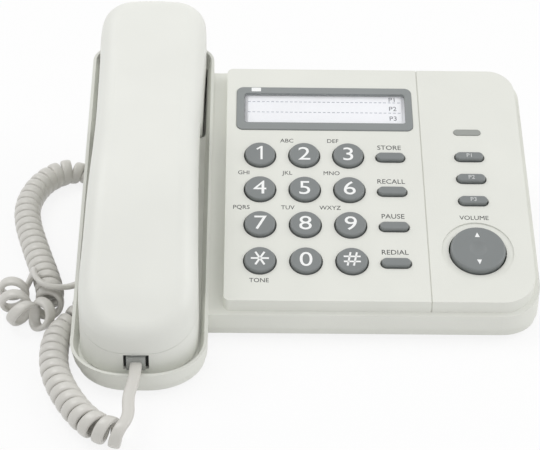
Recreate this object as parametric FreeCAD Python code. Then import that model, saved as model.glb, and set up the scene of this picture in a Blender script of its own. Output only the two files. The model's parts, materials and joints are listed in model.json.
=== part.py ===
"""Corded desk telephone: base with a sloped key panel, a side cradle, a handset and a coiled cord.

Millimetres, +Z up. The origin is on the table, under the middle of the telephone.
Panel pieces are drawn in panel coordinates (x, s, h): s runs up the slope from the
panel's front edge and h stands square on the panel, and on_panel() places them.
"""
import FreeCAD, Part
import math
import os

Vec = FreeCAD.Vector

# ---------------------------------------------------------------- driving sizes
# panel slope
PANEL_TILT = 18.0
PANEL_FRONT_Y = -56.9
PANEL_FRONT_Z = 18.1
PANEL_LENGTH = 128.0
PANEL_LEFT = -34.7
PANEL_RIGHT = 93.2
PANEL_FRONT_RADIUS = 14.0
PANEL_BACK_RADIUS = 11.5
PANEL_SMALL_RADIUS = 2.5

# housing
WALL = 2.2
FLOOR = 2.2
FIT = 0.3
CLOSE_FIT = 0.1
STEP_DEPTH = 4.9
BODY_FRONT_Y = -59.0
BODY_BACK_STEP = 3.16
BODY_BACK_Y = PANEL_FRONT_Y + PANEL_LENGTH * math.cos(math.radians(PANEL_TILT)) + BODY_BACK_STEP
BODY_RIGHT = 95.6
BODY_FRONT_RADIUS = 16.5
BODY_BACK_RADIUS = 13.5
BODY_UNDERSIDE_Z = 5.5
FOOT_LIFT = 2.5
STRIP_INSET = 0.8
LIP_HEIGHT = 3.0
SEAM_X = 49.9
SEAM_SIZE = 0.5

# cradle column
CRADLE_X = -68.2
CRADLE_WIDTH = 54.8
CRADLE_FRONT_Y = -96.5
CRADLE_BACK_Y = 80.5
CRADLE_FRONT_RADIUS = 23.0
CRADLE_BACK_RADIUS = 8.0
CRADLE_CREST_Z = 10.5
CRADLE_RIM_H = -3.0
CRADLE_FLOOR_H = -7.5
CRADLE_TUCK = 2.0
RIM_EDGE = 1.3
MIC_WELL_Z = 6.6
EAR_WELL_START = 93.3
EAR_WELL_END = 136.2
EAR_WELL_H = -16.3
EAR_WELL_RADIUS = 2.5
MIC_WALL = 1.6
TAB_S = 84.0
TAB_WIDTH = 12.0
TAB_THICK = 2.4
TAB_SEAT = 1.2
TAB_RISE = 4.0

# cord channel under the cradle's left side
CHANNEL_X = -88.0
CHANNEL_TOP = 15.5
CHANNEL_START_Y = -60.0
CHANNEL_INNER_START_Y = -50.0
CHANNEL_END_Y = 68.0
CHANNEL_WALL = 1.6

# handset
HANDSET_WIDTH = 47.0
HANDSET_FRONT_Y = -91.0
HANDSET_BACK_Y = 96.5
HANDSET_FRONT_RADIUS = 19.0
HANDSET_BACK_RADIUS = 15.0
HANDSET_PINCH = 1.3
HANDSET_WALL = 2.0
HANDSET_TOP_ROUND = 8.0
HANDSET_BOTTOM_Z = 6.9
HANDSET_TOP = ((-80.0, 8.0, 0), (-14.0, 22.6, 60.0), (44.0, 29.6, 120.0), (104.0, 16.4, 200.0))
HANDSET_TOP_END = 8.6
HANDSET_MOUTH = (10.0, 6.8)
HANDSET_JACK_Z = 12.8
HANDSET_JACK_HEIGHT = 7.8
SHELL_GAP = 0.15
MIC_END_S = 3.0
MIC_S = -4.4
EAR_START_S = 96.0
EAR_END_S = 134.0
RECEIVER_S = 115.0
MIC_BOTTOM_H = -7.2
EAR_BOTTOM_H = -16.0
GRIP_BOTTOM_H = 8.0
TAIL_BOTTOM_H = -1.0

# keys
KEY_PITCH = 19.0
KEY_COLUMN_X = -20.0
KEY_ROW_S = 20.0
KEY_HOLE_RADIUS = 7.0
KEY_GAP = 0.6
KEY_RISE = 1.6
KEY_FLANGE = 0.7
FLANGE_THICK = 0.9
FUNCTION_X = 36.2
FUNCTION_HOLE = (13.2, 5.4)
PRESET_X = 70.4
PRESET_HOLE = (13.2, 5.4)
PRESET_TOP_S = 77.0
PRESET_PITCH = 12.2
STEM_RADIUS = 2.0
STEM_LENGTH = 1.2
DOME_RADIUS = 4.2
DOME_HEIGHT = 1.6
MAT_THICK = 1.0
BOARD_DROP = 7.2
BOARD_THICK = 1.6
BOARD_SCREW_RADIUS = 1.2
BOARD_LEFT = -31.5
BOARD_RIGHT = 86.5
BOARD_START = 4.0
BOARD_END = 124.0
BOARD_CHAMFER = 10.0

# volume rocker
ROCKER_S = 26.2
ROCKER_HOLE_RADIUS = 12.1
ROCKER_DISH_RADIUS = 15.0
ROCKER_DISH_DEPTH = 0.5
ROCKER_RISE = 1.9
ROCKER_SKIRT = 1.6
ROCKER_PIN_H = -3.6
ROCKER_PIN_RADIUS = 1.0
ROCKER_BORE = 1.05
ROCKER_LUG_X = 13.6
ROCKER_LUG_THICK = 2.0

# index card and indicator
FRAME_LEFT = -30.5
FRAME_RIGHT = 47.1
FRAME_START = 91.6
FRAME_END = 116.8
FRAME_RISE = 0.5
FRAME_POCKET = 1.5
CARD_LEFT = -27.0
CARD_RIGHT = 44.0
CARD_START = 95.8
CARD_END = 113.0
CARD_THICK = 0.3
WINDOW_THICK = 0.8
WINDOW_RADIUS = 1.6
INDICATOR_S = 91.2
INDICATOR_SIZE = (12.0, 3.4)

# hook switch
HOOK_S = 108.0
HOOK_SIZE = (10.0, 6.0)
HOOK_LENGTH = 9.0
HOOK_SWITCH_TOP = -31.0
HOOK_SWITCH_H = -37.0
HOOK_SWITCH_S = 108.0
PEDESTAL_Y = 57.5

# base cord jack, line jack and the two slide switches
CORD_JACK_X = -90.1
CORD_JACK_Y = -25.4
CORD_JACK_Z = 12.1
JACK_MOUTH = (7.9, 6.0)
JACK_DEPTH = 14.0
JACK_WALL = 1.1
LINE_JACK_X = 62.0
LINE_JACK_SIZE = (14.0, 16.0, 13.0)
LINE_MOUTH = (10.0, 7.2)
RINGER_SWITCH_X = 14.0
DIAL_SWITCH_X = 36.0
SWITCH_Z = 20.0
SWITCH_BODY = (13.0, 5.0, 7.0)
SWITCH_KNOB = (3.0, 3.6)
SWITCH_TRAVEL = 2.5

# feet, screws, keyholes
FOOT_RADIUS = 5.0
FOOT_HEIGHT = 3.2
SCREW_RADIUS = 1.5
SCREW_HEAD = 2.8
BOSS_RADIUS = 3.0
KEYHOLE_SPACING = 83.0
KEYHOLE_X = 28.0
KEYHOLE_Y = 1.0
RINGER_X = 0.0
RINGER_Y = -18.0
KEYHOLE_RADIUS = 4.2
KEYHOLE_SLOT = 2.2

# cord
WIRE_RADIUS = 1.6
LEAD_RADIUS = 1.6
TABLE_GAP = 0.1
CURL_STEPS = 4
CURL_END_PART = 0.6875
PLUG_SIZE = (7.5, 5.6, 12.0)
PLUG_TAIL = 1.5
LEAD_RUN_IN = 4.5
LEAD_RUN_OUT = 4.0
FULL = 4.3
SLIM = 2.2
CLOSE = 5.3
OPEN = 8.5
LOOSE = 9.6
# the curls' middle line from the handset's end: x, y, curl radius, pitch
CURL_ROUTE = (
    (-72.6, -125.8, FULL, 7.0),
    (-79.5, -123.8, FULL, 6.2),
    (-87.0, -116.6, FULL, CLOSE),
    (-92.8, -107.2, FULL, CLOSE),
    (-97.4, -97.6, FULL, CLOSE),
    (-100.6, -88.2, FULL, CLOSE),
    (-101.9, -78.5, FULL, CLOSE),
    (-101.9, -68.0, FULL, CLOSE),
    (-99.6, -58.5, 3.3, 6.5),
    (-96.2, -50.5, 2.5, OPEN),
    (-93.3, -40.0, SLIM, OPEN),
    (-92.3, -25.0, SLIM, OPEN),
    (-92.3, 0.0, SLIM, OPEN),
    (-92.3, 25.0, SLIM, OPEN),
    (-92.5, 44.0, SLIM, OPEN),
    (-95.0, 54.5, SLIM, OPEN),
    (-101.0, 59.8, 2.8, 7.0),
    (-108.0, 59.2, FULL, 6.0),
    (-114.5, 54.8, FULL, CLOSE),
    (-119.5, 47.5, FULL, CLOSE),
    (-122.8, 37.0, FULL, CLOSE),
    (-123.7, 26.0, FULL, CLOSE),
    (-121.8, 14.0, FULL, CLOSE),
    (-118.5, 2.0, FULL, CLOSE),
    (-114.0, -13.0, FULL, CLOSE),
    (-109.8, -26.0, FULL, CLOSE),
    (-107.0, -37.0, FULL, 6.5),
    (-107.2, -46.5, 4.6, LOOSE),
    (-112.0, -54.2, 4.6, LOOSE),
    (-120.2, -54.2, 4.7, LOOSE),
    (-124.8, -46.5, 4.8, LOOSE),
    (-125.2, -37.0, 4.9, OPEN),
    (-124.6, -28.0, 4.9, OPEN),
)
HANDSET_LEAD_ROUTE = (
    (-68.2, -98.6, 12.8),
    (-69.0, -105.0, 12.4),
    (-70.2, -111.6, 11.7),
)
BASE_LEAD_ROUTE = (
    (-115.2, -25.2, 13.7),
    (-112.2, -26.2, 15.3),
    (-109.7, -29.2, 15.8),
    (-107.2, -35.4, 15.0),
    (-103.5, -38.2, 14.0),
    (-99.2, -38.8, 12.8),
    (-95.1, -37.5, 11.7),
    (-91.9, -34.6, 11.8),
    (-90.1, -30.8, 12.1),
)

SLOPE = math.tan(math.radians(PANEL_TILT))
COS = math.cos(math.radians(PANEL_TILT))
SIN = math.sin(math.radians(PANEL_TILT))
PANEL_PLACE = FreeCAD.Placement(
    Vec(0, PANEL_FRONT_Y, PANEL_FRONT_Z),
    FreeCAD.Rotation(Vec(1, 0, 0), PANEL_TILT),
)
BIG = 400.0


# ---------------------------------------------------------------- helpers
def box(x0, x1, y0, y1, z0, z1):
    """A box between two corners."""
    return Part.makeBox(x1 - x0, y1 - y0, z1 - z0, Vec(x0, y0, z0))


def outline(corners, z=0.0):
    """A closed wire through (x, y, radius) corners, each rounded by its radius."""
    edges = []
    count = len(corners)
    marks = []
    for i in range(count):
        x, y, radius = corners[i]
        here = Vec(x, y, z)
        before = Vec(corners[i - 1][0], corners[i - 1][1], z)
        after = Vec(corners[(i + 1) % count][0], corners[(i + 1) % count][1], z)
        if radius <= 0:
            marks.append((here, None, here))
            continue
        into = (before - here).normalize()
        out = (after - here).normalize()
        half = into.getAngle(out) / 2
        reach = radius / math.tan(half)
        middle = (into + out).normalize() * (radius / math.sin(half) - radius)
        marks.append((here + into * reach, here + middle, here + out * reach))
    for i in range(count):
        start, mid, end = marks[i]
        if mid is not None:
            edges.append(Part.Arc(start, mid, end).toShape())
        following = marks[(i + 1) % count][0]
        if (following - end).Length > 1e-6:
            edges.append(Part.LineSegment(end, following).toShape())
    return Part.Wire(edges)


def rect(x0, x1, y0, y1, radius, z=0.0):
    """A rounded rectangle wire; radius is one value or (front left, front right, back right, back left)."""
    radii = radius if isinstance(radius, tuple) else (radius,) * 4
    spots = [(x0, y0), (x1, y0), (x1, y1), (x0, y1)]
    return outline([(x, y, r) for (x, y), r in zip(spots, radii)], z)


def prism(wire, height):
    """A solid raised straight up from a flat wire."""
    return Part.Face(wire).extrude(Vec(0, 0, height))


def on_panel(shape):
    """Move a shape from panel coordinates (x, s, h) to its place."""
    placed = shape.copy()
    placed.Placement = PANEL_PLACE.multiply(placed.Placement)
    return placed



def cylinder(x, y, z0, z1, radius):
    """An upright cylinder."""
    return Part.makeCylinder(radius, z1 - z0, Vec(x, y, z0))


def pill(width, depth, z0, z1, x=0.0, y=0.0):
    """An upright pill with full round ends along x."""
    half = depth / 2
    wire = rect(x - width / 2, x + width / 2, y - half, y + half, half - 0.001, z0)
    return prism(wire, z1 - z0)


def side_profile(points, x0, x1):
    """A solid from a (y, z) polygon, extruded along x."""
    wire = Part.makePolygon([Vec(x0, y, z) for y, z in points + points[:1]])
    return Part.Face(wire).extrude(Vec(x1 - x0, 0, 0))


def under_plane(h):
    """Everything below the plane that lies h above the panel."""
    return on_panel(box(-BIG, BIG, -BIG, BIG, -BIG, h))


def save(shape, name):
    """Write one sub-part."""
    shape = shape.removeSplitter() if name in CLEANED else shape
    shape.exportStep("parts/" + name + ".step")
    box_ = shape.BoundBox
    print("%-22s solids %d valid %s volume %9.1f z %.1f..%.1f" % (
        name, len(shape.Solids), shape.isValid(), shape.Volume, box_.ZMin, box_.ZMax))


CLEANED = ("upper_case", "lower_case")


# ---------------------------------------------------------------- housing
def plane_y(z, h):
    """The y at which height z meets the plane h above the panel."""
    return PANEL_FRONT_Y + (z - PANEL_FRONT_Z - h / COS) / SLOPE


def panel_flat(y, z):
    """The (s, h) of a world (y, z)."""
    dy = y - PANEL_FRONT_Y
    dz = z - PANEL_FRONT_Z
    return dy * COS + dz * SIN, dz * COS - dy * SIN


def cradle_outline(inset, z, tuck=0.0):
    """The cradle's plan outline, drawn in by inset, and its left side by tuck more."""
    half = CRADLE_WIDTH / 2 - inset
    front = max(CRADLE_FRONT_RADIUS - inset, 1.0)
    back = max(CRADLE_BACK_RADIUS - inset, 1.0)
    return rect(
        CRADLE_X - half + tuck, CRADLE_X + half,
        CRADLE_FRONT_Y + inset, CRADLE_BACK_Y - inset,
        (front - tuck / 2, front, back, back), z)


def above_rim(drop):
    """Everything above the cradle's rim: level at the front, then parallel to the panel."""
    level = CRADLE_CREST_Z - drop
    bend = plane_y(level, CRADLE_RIM_H - drop)
    points = [(-BIG, level), (bend, level), (BIG, level + (BIG - bend) * SLOPE), (BIG, 2 * BIG), (-BIG, 2 * BIG)]
    return side_profile(points, CRADLE_X - CRADLE_WIDTH, CRADLE_X + CRADLE_WIDTH)


def cradle_column(inset, drop, bottom):
    """The solid under the cradle, with its left skirt tucked in above the table."""
    low = cradle_outline(inset, FOOT_LIFT, CRADLE_TUCK)
    high = cradle_outline(inset, CRADLE_CREST_Z - drop, 0.0)
    skirt = Part.makeLoft([low, high], True, True)
    column = skirt.fuse(prism(high, 100.0)).cut(above_rim(drop))
    return column.cut(box(-BIG, BIG, -BIG, BIG, -BIG, bottom))


def bowl(high, low):
    """The dished space between two outlines."""
    return Part.makeLoft([high, low], True, True)


def pocket(grow):
    """The space that takes the handset, grown by a wall where grow is set."""
    wide = CRADLE_WIDTH / 2 - RIM_EDGE + grow
    narrow = HANDSET_WIDTH / 2 + 0.7 + grow
    edge = CRADLE_WIDTH / 2 - wide
    inner = CRADLE_WIDTH / 2 - narrow
    start = panel_flat(plane_y(CRADLE_CREST_Z, CRADLE_RIM_H), CRADLE_CREST_Z)[0]
    back = (CRADLE_BACK_Y - PANEL_FRONT_Y + CRADLE_RIM_H * SIN) / COS
    deep = min(CRADLE_FLOOR_H - grow, CRADLE_RIM_H - 1.0)
    corner = CRADLE_BACK_RADIUS
    high = rect(CRADLE_X - wide, CRADLE_X + wide, start - 4.0, back - edge, max(corner - edge, 1.0), CRADLE_RIM_H)
    low = rect(CRADLE_X - narrow, CRADLE_X + narrow, start - 4.0, back - inner, max(corner - inner, 1.0), deep)
    slope = bowl(high, low)
    slope = slope.fuse(prism(high, 30.0))
    ear = prism(rect(CRADLE_X - narrow, CRADLE_X + narrow, EAR_WELL_START - grow, EAR_WELL_END + grow,
                     EAR_WELL_RADIUS + grow, EAR_WELL_H - grow), 12.0 + grow)
    slope = on_panel(slope.fuse(ear))
    floor = MIC_WELL_Z - min(grow, MIC_WALL)
    front_high = cradle_outline(edge, CRADLE_CREST_Z)
    front_low = cradle_outline(inner, floor)
    front = bowl(front_high, front_low).fuse(prism(front_high, 40.0))
    front = front.cut(box(-BIG, BIG, plane_y(floor, CRADLE_FLOOR_H - grow), BIG, -BIG, BIG))
    return slope.cut(box(-BIG, BIG, -BIG, BIG, -BIG, floor)).fuse(front)


def body_block(inset, drop, bottom):
    """The solid under the right-hand part, whose top is the ledge round the panel."""
    wire = rect(CRADLE_X, BODY_RIGHT - inset, BODY_FRONT_Y + inset, BODY_BACK_Y - inset,
                (0, BODY_FRONT_RADIUS - inset, BODY_BACK_RADIUS - inset, 0), bottom)
    return prism(wire, 100.0).common(under_plane(-STEP_DEPTH - drop))


def panel_block(inset, drop, bottom):
    """The raised table that carries the keys."""
    small = max(PANEL_SMALL_RADIUS - inset, 0.5)
    wire = rect(PANEL_LEFT + inset, PANEL_RIGHT - inset, PANEL_FRONT_Y + inset,
                PANEL_FRONT_Y + PANEL_LENGTH * COS - inset,
                (small, PANEL_FRONT_RADIUS - inset, PANEL_BACK_RADIUS - inset, small), bottom)
    return prism(wire, 100.0).common(under_plane(-drop))


def channel(grow):
    """The open channel low on the cradle's left side, where the cord lies."""
    points = [
        (-BIG / 2, CHANNEL_START_Y - grow), (CRADLE_X - CRADLE_WIDTH / 2, CHANNEL_START_Y - grow),
        (CHANNEL_X + grow, CHANNEL_INNER_START_Y - grow), (CHANNEL_X + grow, CHANNEL_END_Y + grow),
        (-BIG / 2, CHANNEL_END_Y + grow)]
    wire = Part.makePolygon([Vec(x, y, -1.0) for x, y in points + points[:1]])
    space = prism(wire, CHANNEL_TOP + 1.0 + grow)
    return space.common(under_plane(CRADLE_FLOOR_H - WALL + grow))


def key_spots():
    """Every panel key: node name, x, s and its hole as (width, depth), round when depth is None."""
    spots = []
    names = ["key_1", "key_2", "key_3", "key_4", "key_5", "key_6",
             "key_7", "key_8", "key_9", "key_star", "key_0", "key_hash"]
    for i, name in enumerate(names):
        x = KEY_COLUMN_X + (i % 3) * KEY_PITCH
        s = KEY_ROW_S + (3 - i // 3) * KEY_PITCH
        spots.append((name, x, s, (2 * KEY_HOLE_RADIUS, None)))
    for i, name in enumerate(["fn_key_store", "fn_key_recall", "fn_key_pause", "fn_key_redial"]):
        spots.append((name, FUNCTION_X, KEY_ROW_S + (3 - i) * KEY_PITCH - 0.7, FUNCTION_HOLE))
    for i in range(3):
        spots.append(("preset_key_%d" % (i + 1), PRESET_X, PRESET_TOP_S - i * PRESET_PITCH, PRESET_HOLE))
    return spots


def key_form(x, s, hole, trim, z0, z1):
    """A round or pill-shaped upright solid for a key, its hole or its flange."""
    width, depth = hole
    if depth is None:
        return cylinder(x, s, z0, z1, width / 2 - trim)
    return pill(width - 2 * trim, depth - 2 * trim, z0, z1, x, s)


def case_bosses():
    """Where the case screws go."""
    return [(-35.2, -30.0), (-35.2, 50.0), (90.8, -25.0), (90.8, 48.0), (-68.0, 0.0)]


def board_bosses():
    """Where the board screws go, on the panel."""
    return [(-28.0, 8.0), (82.5, 18.0), (-28.0, 121.0), (82.5, 119.0)]


def make_upper_case():
    """The upper case: a shell with the panel, the cradle and their openings."""
    z = BODY_UNDERSIDE_Z
    solid = cradle_column(0, 0, z).fuse([body_block(0, 0, z), panel_block(0, 0, z)])
    solid = solid.cut([pocket(0), channel(0)])
    hollow = cradle_column(WALL, WALL, z - 1).fuse(
        [body_block(WALL, WALL, z - 1), panel_block(WALL, WALL, z - 1)])
    hollow = hollow.cut([pocket(WALL), channel(CHANNEL_WALL)])
    bosses = []
    for x, y in case_bosses():
        boss = cylinder(x, y, FOOT_LIFT + FLOOR + CLOSE_FIT, 70.0, BOSS_RADIUS)
        bosses.append(boss.common(solid.fuse(box(-BIG, BIG, -BIG, BIG, 0, z + 0.01))))
    for x, s in board_bosses():
        bosses.append(on_panel(cylinder(x, s, -BOARD_DROP, -WALL / 2, BOSS_RADIUS)))
    for side in (-1, 1):
        x = PRESET_X + side * ROCKER_LUG_X
        bosses.append(on_panel(box(x - ROCKER_LUG_THICK / 2, x + ROCKER_LUG_THICK / 2,
                                   ROCKER_S - 2.6, ROCKER_S + 2.6, ROCKER_PIN_H - 2.4, -WALL + 0.01)))
    shell = solid.cut(hollow).fuse(bosses)
    cuts = []
    for name, x, s, hole in key_spots():
        cuts.append(on_panel(key_form(x, s, hole, 0, -WALL - 1, 1.0)))
    cuts.append(on_panel(cylinder(PRESET_X, ROCKER_S, -WALL, 1.0, ROCKER_HOLE_RADIUS)))
    cuts.append(on_panel(cylinder(PRESET_X, ROCKER_S, -ROCKER_DISH_DEPTH, 1.0, ROCKER_DISH_RADIUS)))
    cuts.append(on_panel(Part.makeCylinder(ROCKER_BORE, 2 * ROCKER_LUG_X + 4,
                                           Vec(PRESET_X - ROCKER_LUG_X - 2, ROCKER_S, ROCKER_PIN_H),
                                           Vec(1, 0, 0))))
    cuts.append(on_panel(prism(rect(FRAME_LEFT, FRAME_RIGHT, FRAME_START, FRAME_END, 3.0, -FRAME_POCKET), 4.0)))
    cuts.append(on_panel(pill(INDICATOR_SIZE[0], INDICATOR_SIZE[1], -WALL - 1, 1.0, PRESET_X, INDICATOR_S)))
    half = SEAM_SIZE / 2
    cuts.append(on_panel(box(SEAM_X - half, SEAM_X + half, -1.0, PANEL_LENGTH + 1, -SEAM_SIZE, 1.0)))
    cuts.append(box(SEAM_X - half, SEAM_X + half, PANEL_FRONT_Y - 1, PANEL_FRONT_Y + SEAM_SIZE,
                    PANEL_FRONT_Z - STEP_DEPTH - 0.3, PANEL_FRONT_Z + 1))
    for x, y in case_bosses():
        cuts.append(cylinder(x, y, 0, FOOT_LIFT + FLOOR + 10.0, SCREW_RADIUS + 0.05))
    for x, s in board_bosses():
        cuts.append(on_panel(cylinder(x, s, -BOARD_DROP - 1, -BOARD_DROP + 4.0, BOARD_SCREW_RADIUS + 0.05)))
    cuts.append(base_jack_box(0.05))
    width, height, long = PLUG_SIZE
    cuts.append(box(CORD_JACK_X - width / 2 - FIT, CORD_JACK_X + width / 2 + FIT,
                    CORD_JACK_Y - PLUG_TAIL - FIT, CORD_JACK_Y + 1,
                    CORD_JACK_Z - height / 2 - FIT, CORD_JACK_Z + height / 2 + 0.4 + FIT))
    width, depth, height = LINE_JACK_SIZE
    low = FOOT_LIFT + FLOOR
    cuts.append(box(LINE_JACK_X - width / 2 - 0.15, LINE_JACK_X + width / 2 + 0.15,
                    BODY_BACK_Y - WALL - 1, BODY_BACK_Y + 1, low, low + height + 0.15))
    reach = SWITCH_KNOB[0] / 2 + SWITCH_TRAVEL + FIT
    tall = SWITCH_KNOB[1] / 2 + FIT
    for x in (RINGER_SWITCH_X, DIAL_SWITCH_X):
        cuts.append(box(x - reach, x + reach, BODY_BACK_Y - WALL - 1, BODY_BACK_Y + 1,
                        SWITCH_Z - tall, SWITCH_Z + tall))
    wide, long = HOOK_SIZE
    cuts.append(on_panel(box(CRADLE_X - wide / 2 - FIT, CRADLE_X + wide / 2 + FIT,
                             HOOK_S - long / 2 - FIT, HOOK_S + long / 2 + FIT,
                             EAR_WELL_H - 4, EAR_WELL_H + 2)))
    cuts.append(on_panel(box(CRADLE_X - TAB_WIDTH / 2, CRADLE_X + TAB_WIDTH / 2, TAB_S, TAB_S + TAB_THICK,
                             CRADLE_FLOOR_H - TAB_SEAT, CRADLE_FLOOR_H + 2)))
    return shell.cut(cuts)


def make_lower_case():
    """The lower case: a floor with a rim, a lip inside the upper case, and its openings."""
    low = FOOT_LIFT
    top = BODY_UNDERSIDE_Z
    inset = STRIP_INSET
    slab = box(-BIG, BIG, -BIG, BIG, low, top)
    plate = cradle_column(inset, 0, low).fuse(body_block(inset, 0, low)).common(slab)
    plate = plate.cut(channel(inset))
    inner = cradle_column(inset + 1.6, 0, low).fuse(body_block(inset + 1.6, 0, low))
    inner = inner.cut(channel(inset + 1.6)).cut(box(-BIG, BIG, -BIG, BIG, -BIG, low + FLOOR))
    plate = plate.cut(inner)
    lip_slab = box(-BIG, BIG, -50.0, BIG, top - 0.01, top + LIP_HEIGHT)
    gap = WALL + CLOSE_FIT
    lip_out = cradle_column(gap, 0, low).fuse(body_block(gap, 0, low)).cut(channel(CHANNEL_WALL + CLOSE_FIT))
    lip_in = cradle_column(gap + 1.2, 0, low).fuse(body_block(gap + 1.2, 0, low))
    lip_in = lip_in.cut(channel(CHANNEL_WALL + CLOSE_FIT + 1.2))
    lip = lip_out.cut(lip_in).common(lip_slab.fuse(box(-BIG, BIG, -50.0, BIG, low + FLOOR - 0.01, top)))
    clear = [cylinder(x, y, low + FLOOR, 40.0, BOSS_RADIUS + FIT) for x, y in case_bosses()]
    width, depth, height = LINE_JACK_SIZE
    clear.append(box(LINE_JACK_X - width / 2 - 0.15, LINE_JACK_X + width / 2 + 0.15,
                     BODY_BACK_Y - 8, BODY_BACK_Y + 5, low + FLOOR, low + FLOOR + height))
    clear.append(base_jack_box(FIT))
    lip = lip.cut(clear)
    plate = plate.fuse(lip)
    pedestal = box(CRADLE_X - 9.0, CRADLE_X + 9.0, PEDESTAL_Y - 5.0, PEDESTAL_Y + 5.0, low + 0.5, 60.0)
    pedestal = pedestal.common(under_plane(HOOK_SWITCH_H))
    plate = plate.fuse(pedestal)
    cuts = [box(LINE_JACK_X - width / 2 - 0.15, LINE_JACK_X + width / 2 + 0.15,
                BODY_BACK_Y - 8, BODY_BACK_Y + 5, low + FLOOR, low + FLOOR + height)]
    for x, y in case_bosses():
        cuts.append(cylinder(x, y, 0, low + FLOOR + 1, SCREW_RADIUS + 0.2))
        cuts.append(cylinder(x, y, 0, low + 1.3, SCREW_HEAD + 0.2))
    for x, y in foot_spots():
        cuts.append(cylinder(x, y, 0, FOOT_HEIGHT, FOOT_RADIUS + 0.05))
    for side in (-1, 1):
        y = KEYHOLE_Y + side * KEYHOLE_SPACING / 2
        cuts.append(cylinder(KEYHOLE_X, y, 0, low + FLOOR + 1, KEYHOLE_RADIUS))
        cuts.append(box(KEYHOLE_X - KEYHOLE_SLOT, KEYHOLE_X + KEYHOLE_SLOT, y, y + 8.0, 0, low + FLOOR + 1))
        cuts.append(cylinder(KEYHOLE_X, y + 8.0, 0, low + FLOOR + 1, KEYHOLE_SLOT))
    for ring, count in ((0.0, 1), (4.5, 6), (9.0, 12)):
        for i in range(count):
            angle = 2 * math.pi * i / count
            cuts.append(cylinder(RINGER_X + ring * math.cos(angle), RINGER_Y + ring * math.sin(angle),
                                 0, low + FLOOR + 1, 1.0))
    return plate.cut(cuts)


def foot_spots():
    """Where the four rubber feet sit."""
    return [(80.0, -44.0), (80.0, 54.0), (-70.0, 71.0), (-66.0, -80.0)]


# ---------------------------------------------------------------- panel pieces
def make_key(x, s, hole):
    """One panel key: a domed cap, a flange under the panel and a stem onto the mat."""
    cap = key_form(x, s, hole, KEY_GAP, -WALL - FIT - 0.01, KEY_RISE)
    edges = [e for e in cap.Edges if e.BoundBox.ZMin > KEY_RISE - 0.01]
    cap = cap.makeFillet(0.7, edges)
    top = -WALL - FIT
    flange = key_form(x, s, hole, -KEY_FLANGE, top - FLANGE_THICK, top)
    stem = cylinder(x, s, top - FLANGE_THICK - STEM_LENGTH, top, min(STEM_RADIUS, (hole[1] or 9) / 2))
    return on_panel(cap.fuse([flange, stem]))


def make_keypad_mat():
    """The rubber mat with a dome under every key."""
    top = -BOARD_DROP + MAT_THICK
    sheet = prism(rect(-27.9, 78.0, 12.4, 84.0, 2.0, -BOARD_DROP), MAT_THICK)
    sheet = sheet.cut(box(53.0, 100.0, 0, 43.0, -20, 20))
    sheet = sheet.cut([cylinder(x, s, -20, 20, BOSS_RADIUS + FIT) for x, s in board_bosses()])
    domes = []
    hollows = []
    for name, x, s, hole in key_spots():
        domes.append(Part.makeCone(DOME_RADIUS, DOME_RADIUS - 1.6, DOME_HEIGHT, Vec(x, s, top)))
        hollows.append(Part.makeCone(DOME_RADIUS - 0.6, DOME_RADIUS - 2.0, DOME_HEIGHT + 0.2,
                                     Vec(x, s, -BOARD_DROP)))
    return on_panel(sheet.fuse(domes).cut(hollows))


def make_main_board():
    """The circuit board, screwed up under the panel."""
    c = BOARD_CHAMFER
    corners = [(BOARD_LEFT, BOARD_START, 1), (BOARD_RIGHT - c, BOARD_START, 1), (BOARD_RIGHT, BOARD_START + c, 1),
               (BOARD_RIGHT, BOARD_END - c, 1), (BOARD_RIGHT - c, BOARD_END, 1), (BOARD_LEFT, BOARD_END, 1)]
    board = prism(outline(corners, -BOARD_DROP - BOARD_THICK), BOARD_THICK)
    return on_panel(board.cut([cylinder(x, s, -20, 0, BOARD_SCREW_RADIUS + 0.2) for x, s in board_bosses()]))


def make_rocker():
    """The round volume rocker with its pivot boss and two pushers."""
    disc = cylinder(PRESET_X, ROCKER_S, -ROCKER_SKIRT, ROCKER_RISE, ROCKER_HOLE_RADIUS - 0.65)
    edges = [e for e in disc.Edges if e.BoundBox.ZMin > ROCKER_RISE - 0.01]
    disc = disc.makeFillet(1.0, edges)
    web = box(PRESET_X - 9.0, PRESET_X + 9.0, ROCKER_S - 2.2, ROCKER_S + 2.2, ROCKER_PIN_H - 2.0, 0)
    pushers = [cylinder(PRESET_X, ROCKER_S + side * 8.0, -BOARD_DROP + 0.8, 0, 1.4) for side in (-1, 1)]
    dips = [Part.makeSphere(14.0, Vec(PRESET_X, ROCKER_S, ROCKER_RISE + 13.5))]
    bore = Part.makeCylinder(ROCKER_BORE, 24, Vec(PRESET_X - 12, ROCKER_S, ROCKER_PIN_H), Vec(1, 0, 0))
    return on_panel(disc.fuse([web] + pushers).cut(dips).cut(bore))


def make_rocker_pin():
    """The steel pin the rocker turns on."""
    return on_panel(Part.makeCylinder(ROCKER_PIN_RADIUS, 2 * ROCKER_LUG_X + 2.4,
                                      Vec(PRESET_X - ROCKER_LUG_X - 1.2, ROCKER_S, ROCKER_PIN_H), Vec(1, 0, 0)))


def make_card_frame():
    """The frame round the index card."""
    fit = CLOSE_FIT
    body = prism(rect(FRAME_LEFT + fit, FRAME_RIGHT - fit, FRAME_START + fit, FRAME_END - fit, 3.0, -FRAME_POCKET),
                 FRAME_POCKET + FRAME_RISE)
    edges = [e for e in body.Edges if e.BoundBox.ZMin > FRAME_RISE - 0.01]
    body = body.makeFillet(0.4, edges)
    hole = prism(rect(CARD_LEFT, CARD_RIGHT, CARD_START, CARD_END, WINDOW_RADIUS, -5), 10)
    return on_panel(body.cut(hole))


def make_card(low, thick):
    """A sheet that lies in the frame's opening: the card, or the window over it."""
    fit = CLOSE_FIT
    return on_panel(prism(rect(CARD_LEFT + fit, CARD_RIGHT - fit, CARD_START + fit, CARD_END - fit,
                               WINDOW_RADIUS - fit, low), thick))


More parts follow.
